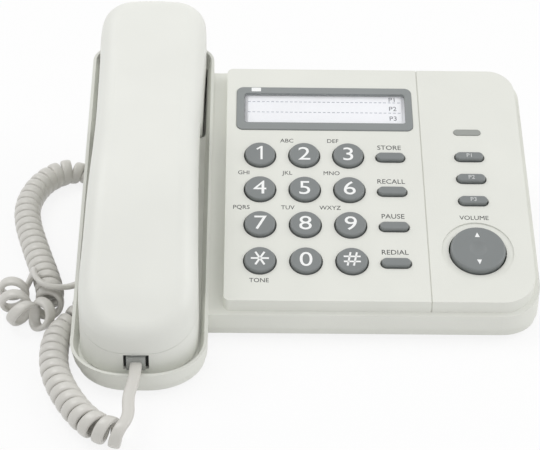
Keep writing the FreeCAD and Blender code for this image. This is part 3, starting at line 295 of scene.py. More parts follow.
class Grain(Enum):
    """How a surface is finished at small scale."""

    SPARK = "spark-eroded moulded plastic"
    SATIN = "smooth moulded plastic"
    VINYL = "soft glossy vinyl"
    PAPER = "plain paper"
    INK = "printed ink"
    CLEAR = "clear plastic"
    RUBBER = "rubber"
    METAL = "drawn metal"
    BOARD = "lacquered board"


@dataclass(frozen=True)
class Finish:
    """One finish: its colour, how far that wanders, its gloss and its grain.

    Attributes:
        colour: Middle colour, sRGB 0 to 255.
        grain: Small-scale kind.
        roughness: Middle roughness.
        grain_mm: Size of the grain.
        depth_mm: Height of the grain.
        drift: Share by which the colour wanders.
        fixed: Principled values that are the same everywhere, by socket name.
    """

    colour: Colour
    grain: Grain
    roughness: float
    grain_mm: float = 0.5
    depth_mm: float = 0.02
    drift: float = 0.03
    fixed: Mapping[str, float] = field(default_factory=dict)


FINISHES: dict[str, Finish] = {
    "case_plastic": Finish(
        (229, 230, 223), Grain.SPARK, 0.56, 0.55, 0.022, 0.025, {"Specular IOR Level": 0.42}
    ),
    "handset_plastic": Finish(
        (231, 232, 226), Grain.SATIN, 0.40, 1.4, 0.012, 0.02, {"Specular IOR Level": 0.45}
    ),
    "key_plastic": Finish((126, 130, 130), Grain.SATIN, 0.42, 0.7, 0.012, 0.05),
    "frame_plastic": Finish((138, 142, 142), Grain.SPARK, 0.50, 0.5, 0.02, 0.04),
    "card_paper": Finish(
        (251, 252, 255), Grain.PAPER, 0.78, 0.5, 0.015, 0.02, {"Specular IOR Level": 0.25}
    ),
    "clear_plastic": Finish((251, 252, 255), Grain.CLEAR, 0.14, 9.0, 0.01, 0.01, {"Alpha": 0.10}),
    "lens_plastic": Finish(
        (153, 156, 151), Grain.SATIN, 0.24, 2.5, 0.01, 0.05, {"Coat Weight": 0.35}
    ),
    "led_plastic": Finish((176, 60, 52), Grain.CLEAR, 0.15, 3.0, 0.01, 0.05),
    "pad_rubber": Finish((186, 187, 182), Grain.RUBBER, 0.80, 0.7, 0.03, 0.06),
    "board_laminate": Finish((44, 112, 62), Grain.BOARD, 0.34, 1.2, 0.05, 0.08),
    "steel": Finish((196, 197, 198), Grain.METAL, 0.32, 0.6, 0.02, 0.05, {"Metallic": 1.0}),
    "dark_plastic": Finish((52, 53, 54), Grain.SPARK, 0.55, 0.5, 0.03, 0.10),
    "foot_rubber": Finish((62, 62, 61), Grain.RUBBER, 0.84, 0.8, 0.04, 0.12),
    "plug_plastic": Finish(
        (222, 225, 221), Grain.CLEAR, 0.16, 4.0, 0.01, 0.02,
        {"Transmission Weight": 0.55, "IOR": 1.58},
    ),
    "cord_plastic": Finish(
        (210, 208, 202), Grain.VINYL, 0.34, 3.0, 0.02, 0.03,
        {"Coat Weight": 0.2, "Coat Roughness": 0.25},
    ),
    "ink_white": Finish((246, 247, 246), Grain.INK, 0.55, 0.6, 0.004, 0.02),
    "ink_pale": Finish((214, 216, 215), Grain.INK, 0.55, 0.6, 0.004, 0.03),
    "ink_dark": Finish((44, 46, 48), Grain.INK, 0.60, 0.6, 0.004, 0.08),
    "ink_grey": Finish((92, 94, 102), Grain.INK, 0.60, 0.6, 0.004, 0.05),
    "ink_rule": Finish((158, 162, 174), Grain.INK, 0.60, 0.6, 0.004, 0.05),
    # Near-black for the crosses on the screw heads: painted shade standing in for the hollows of
    # their cross recesses, not the screws' own colour.
    "painted_recess_shade": Finish((38, 38, 39), Grain.METAL, 0.55, 0.5, 0.01, 0.12, {"Metallic": 0.6}),
    "gold": Finish((214, 176, 96), Grain.METAL, 0.22, 0.8, 0.006, 0.05, {"Metallic": 1.0}),
    "label": Finish((206, 207, 206), Grain.PAPER, 0.42, 0.6, 0.01, 0.03),
}


@dataclass
class PaintShop:
    """Makes each finish's material once.

    Attributes:
        made: The materials made so far, by finish.
        wander_mm: Size of the patches over which every colour drifts.
        wander_span: The part of the noise that the drift uses.
        middle: What noise averages.
    """

    made: dict[str, bpy.types.Material] = field(default_factory=dict)
    wander_mm: float = 38.0
    wander_span: Pair = (0.3, 0.7)
    middle: float = 0.5

    def get(self, name: str) -> bpy.types.Material:
        """Fetch a material.

        Args:
            name: The finish's name.

        Returns:
            Its material, made on first use.
        """
        if name not in self.made:
            self.made[name] = self._make(name, FINISHES[name])
        return self.made[name]

    def _make(self, name: str, finish: Finish) -> bpy.types.Material:
        """Build a finish's node tree.

        Args:
            name: The finish's name.
            finish: What to show.

        Returns:
            The new material.
        """
        material = bpy.data.materials.new(name)
        material.use_nodes = True
        graph = SurfaceGraph(material.node_tree)
        colour, roughness, height = self._pattern(graph, finish)
        inputs: dict[Union[int, str], Any] = {
            "Base Color": colour,
            "Roughness": roughness,
            "Normal": graph.bump(height, finish.depth_mm),
        }
        inputs.update(finish.fixed)
        shader = graph.add("ShaderNodeBsdfPrincipled", None, inputs)
        graph.add("ShaderNodeOutputMaterial", None, {"Surface": graph.out(shader)})
        return material

    def _pattern(self, graph: SurfaceGraph, finish: Finish) -> tuple[Sock, Sock, Sock]:
        """Colour, roughness and height of a finish.

        A grain's numbers say how much of each noise its colour, its gloss and its height take.

        Args:
            graph: The material's tree.
            finish: What to show.

        Returns:
            The three values, ready for the shader.
        """
        middle, size, rough = self.middle, finish.grain_mm, finish.roughness
        wander = graph.noise(self.wander_mm).spread(*self.wander_span)
        fine = graph.noise(size, 3.0)
        broad = graph.noise(size * 9.0)
        if finish.grain is Grain.SPARK:
            pits = graph.cells(size * 0.8)
            share = wander * 0.75 + fine * 0.25
            gloss = rough + (fine - middle) * 0.14 + (broad - middle) * 0.08
            height = fine + pits * 0.5
        elif finish.grain in (Grain.SATIN, Grain.VINYL):
            flow = graph.noise(size * 6.0, 1.0, (1.0, 0.35, 1.0))
            share = wander * 0.7 + flow * 0.3
            gloss = rough + (broad - middle) * 0.16
            height = fine * 0.5 + flow
        elif finish.grain is Grain.PAPER:
            fibre = graph.noise(size, 3.0, (0.25, 1.0, 1.0))
            cross = graph.noise(size, 2.0, (1.0, 0.3, 1.0))
            share = wander * 0.4 + fibre * 0.35 + cross * 0.25
            gloss = rough + (fibre - middle) * 0.12
            height = fibre + cross
        elif finish.grain is Grain.RUBBER:
            specks = graph.cells(size * 1.3)
            share = wander * 0.5 + specks * 0.6
            gloss = rough + (fine - middle) * 0.16
            height = fine + specks
        elif finish.grain is Grain.METAL:
            height = graph.noise(size, 3.0, (1.0, 0.06, 0.06))
            share = wander * 0.4 + height * 0.6
            gloss = rough + (height - middle) * 0.28
        elif finish.grain is Grain.BOARD:
            traces = graph.noise(size * 2.2, 0.0, (1.0, 0.12, 1.0)).over(0.52)
            share = traces * 0.7 + wander * 0.3
            gloss = rough + (broad - middle) * 0.1
            height = traces + fine * 0.2
        else:
            share, height = wander, fine
            gloss = rough + (broad - middle) * 0.12
        base = Vector(linear(finish.colour)[:3])
        low, high = ((*(base * (1.0 + way * finish.drift)), 1.0) for way in (-1.0, 1.0))
        return graph.blend(share, low, high), gloss, height


# ---------------------------------------------------------------- meshes


@dataclass(frozen=True)
class KeyPanel:
    """The tilted face that carries the keys, with x to the right, s up its slope and h off it."""

    origin: Triple = (0.0, -56.9, 18.1)
    tilt_deg: float = 18.0

    def at(self, x: float, s: float, h: float) -> Matrix:
        """The face's axes moved to a place on it.

        Args:
            x: Distance to the right, in millimetres.
            s: Distance up the slope.
            h: Height off the face.

        Returns:
            The moved axes.
        """
        turn = Matrix.Rotation(math.radians(self.tilt_deg), 4, "X")
        corner = Matrix.Translation(Vector(self.origin) * MM)
        return corner @ turn @ Matrix.Translation(Vector((x, s, h)) * MM)


PANEL = KeyPanel()


def rounded(width: float, height: float, radius: float, steps: int = 6) -> list[Pair]:
    """Outline of a rectangle with round corners.

    Args:
        width: Its width, in millimetres.
        height: Its height.
        radius: Radius of the corners.
        steps: Steps in each corner.

    Returns:
        The outline, round its middle.
    """
    outline: list[Pair] = []
    for quarter, (sx, sy) in enumerate(((1, 1), (-1, 1), (-1, -1), (1, -1))):
        for step in range(steps + 1):
            angle = math.pi / 2 * (quarter + step / steps)
            x = sx * (width / 2 - radius) + radius * math.cos(angle)
            outline.append((x, sy * (height / 2 - radius) + radius * math.sin(angle)))
    return outline


def bar(start: Pair, end: Pair, width: float) -> list[Pair]:
    """Outline of a straight bar.

    Args:
        start: Middle of one end, in millimetres.
        end: Middle of the other end.
        width: The bar's width.

    Returns:
        The four corners.
    """
    along = Vector((end[0] - start[0], end[1] - start[1])).normalized() * (width / 2)
    across = Vector((along.y, -along.x))
    return [
        (start[0] + across.x, start[1] + across.y),
        (end[0] + across.x, end[1] + across.y),
        (end[0] - across.x, end[1] - across.y),
        (start[0] - across.x, start[1] - across.y),
    ]


class MeshPile:
    """Collects small solids and turns them into one piece.

    Attributes:
        CAP_SHARE: Height of a capital in the lettering, as a share of its size.
    """

    CAP_SHARE = 0.729

    def __init__(self) -> None:
        """Start empty."""
        self._bm = bmesh.new()

    def mesh(self, mesh: bpy.types.Mesh, place: Matrix) -> None:
        """Add a mesh.

        Args:
            mesh: The mesh, which is used up.
            place: Where it goes.
        """
        mesh.transform(place)
        self._bm.from_mesh(mesh)
        bpy.data.meshes.remove(mesh)

    def slab(
        self, outline: Sequence[Pair], thick: float, place: Matrix, chamfer: float = 0.0
    ) -> None:
        """Add an outline raised off its plane.

        Args:
            outline: Corners in millimetres, counter-clockwise.
            thick: Height in millimetres.
            place: Axes that the outline lies in.
            chamfer: How far the top edge is drawn in.
        """
        middle = Vector((sum(p[0] for p in outline), sum(p[1] for p in outline))) / len(outline)
        levels = [(0.0, 0.0), (thick - chamfer, 0.0)] + ([(thick, chamfer)] if chamfer else [])
        rings = []
        for height, inset in levels:
            ring = []
            for x, y in outline:
                away = Vector((x, y)) - middle
                point = Vector((x, y)) - away.normalized() * inset
                ring.append(self._bm.verts.new(place @ (Vector((point.x, point.y, height)) * MM)))
            rings.append(ring)
        self._bm.faces.new(list(reversed(rings[0])))
        self._bm.faces.new(rings[-1])
        for lower, upper in zip(rings, rings[1:]):
            for i, corner in enumerate(lower):
                j = (i + 1) % len(lower)
                self._bm.faces.new((corner, lower[j], upper[j], upper[i]))

    def words(
        self, text: str, cap: float, thick: float, place: Matrix, resolution: int = 3
    ) -> None:
        """Add a line of words.

        Args:
            text: The words, set round the middle of the place.
            cap: Height of a capital, in millimetres.
            thick: Height of the ink, in millimetres.
            place: Axes that the words lie in.
            resolution: Steps in a letter's curves.
        """
        curve = bpy.data.curves.new("words", "FONT")
        curve.body = text
        curve.align_x = "CENTER"
        curve.size = cap / self.CAP_SHARE * MM
        curve.extrude = thick / 2 * MM
        curve.resolution_u = resolution
        mesh = plain_mesh(linked("words", curve))
        bpy.data.curves.remove(curve)
        self.mesh(mesh, place @ Matrix.Translation(Vector((0.0, -cap / 2, thick / 2)) * MM))

    def piece(self, name: str, material: bpy.types.Material, body: str) -> None:
        """Finish the pile as one object on a body.

        Args:
            name: The piece's name.
            material: What it is made of.
            body: The body that carries it.
        """
        bmesh.ops.recalc_face_normals(self._bm, faces=self._bm.faces)
        mesh = bpy.data.meshes.new(name)
        self._bm.to_mesh(mesh)
        self._bm.free()
        mesh.materials.clear()
        mesh.materials.append(material)
        obj = linked(name, mesh)
        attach(obj, body)
        LOG.info("made %s: %d faces on %s", name, len(mesh.polygons), body)


# ---------------------------------------------------------------- repeats


class CopiesTree(NodeGraph):
    """A Geometry Nodes tree with named inputs that ends in real geometry of one material."""

    def __init__(self, name: str, inputs: Mapping[str, str]) -> None:
        """Make the tree.

        Args:
            name: The tree's name.
            inputs: Socket type of each named input.
        """
        super().__init__(bpy.data.node_groups.new(name, "GeometryNodeTree"))
        face = self.tree.interface
        face.new_socket(name="Geometry", in_out="INPUT", socket_type="NodeSocketGeometry")
        for label, kind in {**inputs, "Material": "NodeSocketMaterial"}.items():
            face.new_socket(name=label, in_out="INPUT", socket_type=kind)
        face.new_socket(name="Geometry", in_out="OUTPUT", socket_type="NodeSocketGeometry")
        self.source = self.add("NodeGroupInput")

    def given(self, label: str) -> Sock:
        """One of the tree's named inputs."""
        return self.out(self.source, label)

    def close(self, geometry: Sock) -> None:
        """Make the copies real, give them the material and end the tree.

        Args:
            geometry: The copies.
        """
        real = self.out(self.add("GeometryNodeRealizeInstances", None, {"Geometry": geometry}))
        inputs = {"Geometry": real, "Material": self.given("Material")}
        painted = self.add("GeometryNodeSetMaterial", None, inputs)
        self.add("NodeGroupOutput", None, {"Geometry": self.out(painted)})

    def run(self, points: Iterable[Vector], values: Mapping[str, Any]) -> bpy.types.Mesh:
        """Evaluate the tree once.

        Args:
            points: Vertices of the mesh that goes in, in metres.
            values: Value of each named input.

        Returns:
            The result as a plain mesh.
        """
        start = bpy.data.meshes.new("points")
        start.from_pydata([tuple(p) for p in points], [], [])
        holder = linked("copies", start)
        modifier = holder.modifiers.new("copies", "NODES")
        modifier.node_group = self.tree
        for item in self.tree.interface.items_tree:
            if item.item_type == "SOCKET" and item.in_out == "INPUT" and item.name in values:
                modifier[item.identifier] = values[item.name]
        mesh = plain_mesh(holder)
        bpy.data.meshes.remove(start)
        return mesh


class BarRows(CopiesTree):
    """Equal bars in rows and columns."""

    def __init__(self) -> None:
        """Build the tree."""
        vector, whole = "NodeSocketVector", "NodeSocketInt"
        sizes = {"Bar": vector, "Columns": whole, "Column Step": vector}
        super().__init__("bar_rows", {**sizes, "Rows": whole, "Row Step": vector})
        one = self.out(self.add("GeometryNodeMeshCube", None, {"Size": self.given("Bar")}))
        for count, step in (("Columns", "Column Step"), ("Rows", "Row Step")):
            inputs = {"Count": self.given(count), "Offset": self.given(step)}
            line = self.add("GeometryNodeMeshLine", None, inputs)
            inputs = {"Points": self.out(line), "Instance": one}
            one = self.out(self.add("GeometryNodeInstanceOnPoints", None, inputs))
        self.close(one)


class CrossMarks(CopiesTree):
    """A dark cross on each point, painted shade standing for a screw's cross recess, each turned as
    its screw happened to stop.

    Attributes:
        SEED: Fixes the turns.
        LOWEST: Number of the random value's socket for its least value.
        HIGHEST: Number of the socket for its greatest value.
        CHANCE: Number of the socket that the value comes out of.
    """

    SEED = 11
    LOWEST, HIGHEST, CHANCE = 2, 3, 1

    def __init__(self) -> None:
        """Build the tree."""
        slots = ("Slot", "Other Slot")
        super().__init__("cross_marks", {name: "NodeSocketVector" for name in slots})
        join = self.add("GeometryNodeJoinGeometry")
        for name in slots:
            slot = self.add("GeometryNodeMeshCube", None, {"Size": self.given(name)})
            self.tree.links.new(slot.outputs[0], join.inputs[0])
        span = {self.LOWEST: 0.0, self.HIGHEST: math.pi / 2, "Seed": self.SEED}
        chance = self.add("FunctionNodeRandomValue", {"data_type": "FLOAT"}, span)
        turn = self.add("ShaderNodeCombineXYZ", None, {"Z": self.out(chance, self.CHANCE)})
        spin = self.add("FunctionNodeEulerToRotation", None, {"Euler": self.out(turn)})
        inputs = {
            "Points": self.given("Geometry"),
            "Instance": self.out(join),
            "Rotation": self.out(spin),
        }
        self.close(self.out(self.add("GeometryNodeInstanceOnPoints", None, inputs)))


# ---------------------------------------------------------------- cord


@dataclass(frozen=True)
class CurlStop:
    """A control point of the curls' middle line, with the curl's radius and pitch there."""

    x: float
    y: float
    radius: float
    pitch: float


# Radii and pitches of the curls: full ones lie in the open, slim ones under the cradle.
FULL, SLIM = 4.3, 2.2
CLOSE, OPEN, LOOSE = 5.3, 8.5, 9.6

CURL_STOPS: tuple[CurlStop, ...] = tuple(
    CurlStop(*row)
    for row in (
        (-71.2, -125.9, FULL, 7.0),
        (-79.5, -123.8, FULL, 6.2),
        (-87.0, -116.6, FULL, CLOSE),
        (-92.8, -107.2, FULL, CLOSE),
        (-97.4, -97.6, FULL, CLOSE),
        (-100.6, -88.2, FULL, CLOSE),
        (-101.9, -78.5, FULL, CLOSE),
        (-101.9, -68.0, FULL, CLOSE),
        (-99.6, -58.5, 3.3, 6.5),
        (-96.2, -50.5, 2.5, OPEN),
        (-93.3, -40.0, SLIM, OPEN),
        (-92.3, -25.0, SLIM, OPEN),
        (-92.3, 0.0, SLIM, OPEN),
        (-92.3, 25.0, SLIM, OPEN),
        (-92.5, 44.0, SLIM, OPEN),
        (-95.0, 54.5, SLIM, OPEN),
        (-101.0, 59.8, 2.8, 7.0),
        (-108.0, 59.2, FULL, 6.0),
        (-114.5, 54.8, FULL, CLOSE),
        (-119.5, 47.5, FULL, CLOSE),
        (-122.8, 37.0, FULL, CLOSE),
        (-123.7, 26.0, FULL, CLOSE),
        (-121.8, 14.0, FULL, CLOSE),
        (-118.5, 2.0, FULL, CLOSE),
        (-114.0, -13.0, FULL, CLOSE),
        (-109.8, -26.0, FULL, CLOSE),
        (-107.0, -37.0, FULL, 6.5),
        (-106.8, -47.5, 4.6, LOOSE),
        (-110.6, -54.4, 4.6, LOOSE),
        (-117.6, -52.4, 4.7, LOOSE),
        (-120.8, -45.4, 4.8, LOOSE),
        (-122.4, -38.2, 4.9, OPEN),
        (-122.8, -30.6, 4.9, OPEN),
    )
)

HANDSET_LEAD_ROUTE = (
    (-70.2, -111.6, 11.7),
    (-69.0, -105.0, 12.4),
    (-68.2, -98.6, 12.8),
    (-68.2, -92.5, 12.8),
)

BASE_LEAD_ROUTE = (
    (-114.0, -31.2, 13.8),
    (-112.9, -37.0, 14.8),
    (-110.2, -42.2, 15.4),
    (-106.0, -44.0, 14.8),
    (-101.8, -42.9, 13.6),
    (-98.2, -40.6, 12.5),
    (-95.1, -37.5, 11.7),
    (-91.9, -34.6, 11.8),
    (-90.1, -30.8, 12.1),
    (-90.1, -26.9, 12.1),
)


def spline_line(points: Sequence[Vector], resolution: int) -> list[Vector]:
    """Points along a smooth NURBS spline.

    Args:
        points: Control points, in metres.
        resolution: Steps per span.

    Returns:
        The spline's own points, evenly spaced in its parameter.
    """
    curve = bpy.data.curves.new("route", "CURVE")
    curve.dimensions = "3D"
    spline = curve.splines.new("NURBS")
    spline.points.add(len(points) - 1)
    for knot, point in zip(spline.points, points):
        knot.co = (*point, 1.0)
    spline.order_u = 3
    spline.use_endpoint_u = True
    spline.resolution_u = resolution
    mesh = plain_mesh(linked("route", curve))
    line = [v.co.copy() for v in mesh.vertices]
    bpy.data.curves.remove(curve)
    bpy.data.meshes.remove(mesh)
    return line


def line_length(line: Sequence[Vector]) -> float:
    """Length along a line of points."""
    return sum((b - a).length for a, b in zip(line, line[1:]))


def headings(line: Sequence[Vector]) -> list[Vector]:
    """The direction of a line at each of its points."""
    pairs = zip([line[0], *line], [*line[1:], line[-1]])
    return [(after - before).normalized() for before, after in pairs]


def square_to(vector: Vector, along: Vector) -> Vector:
    """The part of a vector that is square to a direction, as a unit vector."""
    return (vector - along * vector.dot(along)).normalized()


@dataclass
class Strand:
    """A stretch of flat cord: its centreline and the direction of its flat side at each point."""

    line: list[Vector]
    flats: list[Vector]

    def joined(self, other: "Strand") -> "Strand":
        """This stretch and the next one, which starts where this ends."""
        return Strand(self.line + other.line[1:], self.flats + other.flats[1:])

    def reversed(self) -> "Strand":
        """The same stretch from its other end."""
        return Strand(self.line[::-1], self.flats[::-1])


@dataclass(frozen=True)
class FlatCord:
    """The cord's section: a soft-cornered flat strip."""

    width: float = 4.8
    thick: float = 2.4
    ring: int = 16
    squareness: float = 2.8

    def outline(self) -> list[Pair]:
        """Points round the section.

        Returns:
            Metres across the flat and off it.
        """
        points = []
        for i in range(self.ring):
            angle = math.tau * i / self.ring
            c, s = math.cos(angle), math.sin(angle)
            x = math.copysign(abs(c) ** (2 / self.squareness), c) * self.width / 2
            y = math.copysign(abs(s) ** (2 / self.squareness), s) * self.thick / 2
            points.append((x * MM, y * MM))
        return points

    def sweep(self, name: str, strand: Strand, material: bpy.types.Material) -> bpy.types.Object:
        """Run the section along a strand.

        Args:
            name: The piece's name.
            strand: Where the cord lies.
            material: What it is made of.

        Returns:
            The cord as an object with closed ends.
        """
        vertices, faces = [], []
        outline, count = self.outline(), self.ring
        for point, flat, along in zip(strand.line, strand.flats, headings(strand.line)):
            off = square_to(flat, along)
            across = along.cross(off)
            vertices += [point + across * x + off * y for x, y in outline]
        last = (len(strand.line) - 1) * count
        for low in range(0, last, count):
            high = low + count
            for j in range(count):
                k = (j + 1) % count
                faces.append((low + j, high + j, high + k, low + k))
        faces.append(tuple(range(count)))
        faces.append(tuple(last + j for j in reversed(range(count))))
        mesh = bpy.data.meshes.new(name)
        mesh.from_pydata(vertices, [], faces)
        mesh.polygons.foreach_set("use_smooth", [True] * (len(faces) - 2) + [False, False])
        mesh.materials.append(material)
        mesh.update()
        for edge in mesh.edges:
            low, high = sorted(edge.vertices)
            edge.use_edge_sharp = high < count or low >= last
        length = line_length(strand.line) / MM
        LOG.info("made %s: %.1f mm of cord, %d faces", name, length, len(faces))
        return linked(name, mesh)


@dataclass
class CurlyCord:
    """The handset cord: curls from the handset's lead to the base's, and the two leads.

    Attributes:
        shop: Where the material comes from.
        section: The strip that the cord is.
        turns: Number of curls.
        steps: Points in each curl.
        ride_height: How far the curls' middle lies above their radius, in millimetres.
        ribbon_offset: How far the strip's middle runs outside the radius.
        route_steps: Steps in each span of the curls' middle line.
        lead_steps: Steps in each span of a lead.
        base_run: Straight start of the base's lead.
        handset_run: Straight start of the handset's lead.
        facing: Flat side of the base's lead where it lies against the curls.
        facing_span: The part of that lead, as shares of its length.
        jack_mouth: Where the handset's lead enters its jack, in metres; not used.
    """

    shop: PaintShop
    section: FlatCord = FlatCord()
    turns: float = 55.6875
    steps: int = 32
    ride_height: float = 1.7
    ribbon_offset: float = 0.4
    route_steps: int = 40
    lead_steps: int = 14
    base_run: float = 4.0
    handset_run: float = 4.5
    facing: Triple = (0.0, 0.56, 0.83)
    facing_span: Pair = (0.45, 0.7)
    jack_mouth: Triple = (-0.0682, -0.0985, 0.0128)

    def curls(self) -> Strand:
        """Wind the helix, left-handed and starting at the top of its first curl.

        Returns:
            The strand, from the handset's end to the base's.
        """
        route = [Vector((p.x, p.y, p.radius + self.ride_height)) * MM for p in CURL_STOPS]
        line = np.array([tuple(p) for p in spline_line(route, self.route_steps)])
        spans = len(route) - 2.0
        share = np.linspace(0.0, spans, len(line))
        knots = [0.0] + [i - 0.5 for i in range(1, len(route) - 1)] + [spans]
        pitch = np.interp(share, knots, [p.pitch * MM for p in CURL_STOPS])
        gaps = np.linalg.norm(np.diff(line, axis=0), axis=1)
        wound = np.concatenate(([0.0], np.cumsum(gaps / (0.5 * (pitch[1:] + pitch[:-1])))))
        LOG.info("curls: %.2f turns before fitting, %.2f after", wound[-1], self.turns)
        wound *= self.turns / wound[-1]
        ahead = np.gradient(line, axis=0)
        points, flats = [], []
        for k in range(int(round(self.turns * self.steps)) + 1):
            turn = k / self.steps
            middle, heading = (
                Vector([float(np.interp(turn, wound, axis)) for axis in rows.T])
                for rows in (line, ahead)
            )
            along = heading.normalized()
            side = along.cross(UP).normalized()
            lift = side.cross(along)
            radius = middle.z + (self.ribbon_offset - self.ride_height) * MM
            out = lift * math.cos(math.tau * turn) - side * math.sin(math.tau * turn)
            points.append(middle + out * radius)
            flats.append(out)
        return Strand(points, flats)

    def lead(
        self, start: Vector, heading: Vector, run: float, route: Iterable[Triple]
    ) -> list[Vector]:
        """Draw a lead's centreline.

        Args:
            start: Where the curls end.
            heading: The way it leaves them.
            run: How far it keeps that way, in millimetres.
            route: The points that it then goes through.

        Returns:
            The line, in metres.
        """
        first = [start, start + heading * (run * MM)]
        return spline_line(first + [Vector(p) * MM for p in route], self.lead_steps)

    def twisted(
        self, line: list[Vector], first: Vector, wanted: Sequence[tuple[float, Vector]]
    ) -> Strand:
        """Carry the flat side along a lead without needless twist, and turn it to the wanted sides.

        Args:
            line: The lead's centreline.
            first: The flat side at its start.
            wanted: Shares of the length, each with the flat side wanted there.

        Returns:
            The lead's strand.
        """
        along = headings(line)
        carried = [square_to(first, along[0])]
        for heading in along[1:]:
            carried.append(square_to(carried[-1], heading))
        last = len(line) - 1
        stops, angles = [0.0], [0.0]
        for share, side in wanted:
            i = int(round(share * last))
            goal = square_to(side, along[i])
            angle = math.atan2(along[i].dot(carried[i].cross(goal)), carried[i].dot(goal))
            angle -= math.pi * round((angle - angles[-1]) / math.pi)
            stops.append(share)
            angles.append(angle)
        flats = []
        for i, flat in enumerate(carried):
            share = i / last
            span = max(n for n, stop in enumerate(stops[:-1]) if stop <= share)
            part = smooth((share - stops[span]) / (stops[span + 1] - stops[span]))
            angle = angles[span] + (angles[span + 1] - angles[span]) * part
            flats.append(Matrix.Rotation(angle, 3, along[i]) @ flat)
        return Strand(line, flats)

    def build(self) -> None:
        material = self.shop.get("cord_plastic")
        curls = self.curls()
        along = headings(curls.line)

        base_line = self.lead(curls.line[-1], along[-1], self.base_run, BASE_LEAD_ROUTE)
        sides = [(share, Vector(self.facing)) for share in self.facing_span] + [(1.0, UP)]
        strand = curls.joined(self.twisted(base_line, curls.flats[-1], sides)).reversed()
        cord = self.section.sweep("curly_cord", strand, material)
        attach(cord, "base")
        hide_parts("cord_curls", "cord_lead_base")
        round(line_length(strand.line), 3)

        lead_line = self.lead(curls.line[0], -along[0], self.handset_run, HANDSET_LEAD_ROUTE)
        strand = self.twisted(lead_line, UP, ((0.5, UP), (1.0, UP)))
        lead = self.section.sweep("handset_lead", strand, material)
        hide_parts("cord_lead_handset")
        round(line_length(lead_line), 4)
        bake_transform(lead)


# ---------------------------------------------------------------- legends

# Heights of the capitals that are printed on the panel.
LETTER_CAP, NAME_CAP, SIGN_CAP = 2.2, 2.55, 2.3


@dataclass(frozen=True)
class Legend:
    """Words on the panel, centred at x and s, with capitals of a height."""

    text: str
    x: float
    s: float
    cap: float


@dataclass
class KeyLegends:
    """Digits, signs and names on the moving keys.

    Attributes:
        shop: Where the ink comes from.
        columns: The dial keys' columns, along the panel's x.
        rows: Their rows, along its s.
        rise: Height of the key tops.
        lift: How far the signs stand up the slope from a key's middle.
        ink: Thickness of the ink.
        cap: Height of a digit.
        widen: How much wider the digits are than the lettering has them.
        curve_steps: Steps in a digit's curves.
        signs: The dial keys' signs, row by row.
        star_reach: Length of a star's half arm.
        star_bar: Width of its arms.
        hash_reach: Half lengths of the hash's level and upright bars.
        hash_gap: Half the distance between two such bars.
        hash_lean: How far the upright bars lean.
        hash_bar: Width of the bars.
        preset_x: The presets' column.
        preset_rows: Their rows.
        preset_lift: How far their names stand up the slope from a key's middle.
        preset_cap: Height of their names.
    """

    shop: PaintShop
    columns: tuple[float, ...] = (-20.0, -1.0, 18.0)
    rows: tuple[float, ...] = (77.0, 58.0, 39.0, 20.0)
    rise: float = 1.6
    lift: float = 0.3
    ink: float = 0.04
    cap: float = 7.5
    widen: float = 1.16
    curve_steps: int = 5
    signs: tuple[str, ...] = ("1", "2", "3", "4", "5", "6", "7", "8", "9", "star", "0", "hash")
    star_reach: float = 3.75
    star_bar: float = 0.85
    hash_reach: Pair = (3.5, 3.45)
    hash_gap: float = 1.3
    hash_lean: float = 0.7
    hash_bar: float = 0.8
    preset_x: float = 70.4
    preset_rows: tuple[float, ...] = (77.0, 64.8, 52.6)
    preset_lift: float = 0.1
    preset_cap: float = 2.1

    def outlines(self, sign: str) -> list[list[Pair]]:
        """Outlines of a sign that the lettering doesn't draw as the keys have it.

        Args:
            sign: The sign's name.

        Returns:
            Its outlines, or none for a sign that the lettering draws.
        """
        if sign == "star":
            turns = (math.tau * third / 6 for third in range(3))
            arms = [Vector((math.cos(t), math.sin(t))) * self.star_reach for t in turns]
            return [bar((-arm.x, -arm.y), (arm.x, arm.y), self.star_bar) for arm in arms]
        if sign == "hash":
            wide, tall = self.hash_reach
            bars = []
            for gap in (-self.hash_gap, self.hash_gap):
                bars.append(bar((-wide, gap), (wide, gap), self.hash_bar))
                foot, head = gap - self.hash_lean, gap + self.hash_lean
                bars.append(bar((foot, -tall), (head, tall), self.hash_bar))
            return bars
        if sign == "1":
            top = self.cap / 2
            stem = [(0.1, -top), (1.05, -top), (1.05, top), (0.3, top)]
            return [stem + [(-1.7, top - 1.5), (-1.3, top - 2.15), (0.1, top - 1.2)]]
        return []

    def build(self) -> None:
        """Make one legend for each key."""
        white, pale = self.shop.get("ink_white"), self.shop.get("ink_pale")
        for number, sign in enumerate(self.signs):
            x, s = self.columns[number % 3], self.rows[number // 3]
            place = PANEL.at(x, s + self.lift, self.rise)
            pile = MeshPile()
            outlines = self.outlines(sign)
            for outline in outlines:
                pile.slab(outline, self.ink, place)
            if not outlines:
                wide = place @ Matrix.Diagonal((self.widen, 1.0, 1.0, 1.0))
                pile.words(sign, self.cap, self.ink, wide, self.curve_steps)
            pile.piece(f"legend_key_{sign}", white, f"key_{sign}_body")
        for number, s in enumerate(self.preset_rows, 1):
            place = PANEL.at(self.preset_x, s + self.preset_lift, self.rise)
            pile = MeshPile()
            pile.words(f"P{number}", self.preset_cap, self.ink, place)
            pile.piece(f"legend_preset_{number}", pale, f"preset_key_{number}_body")


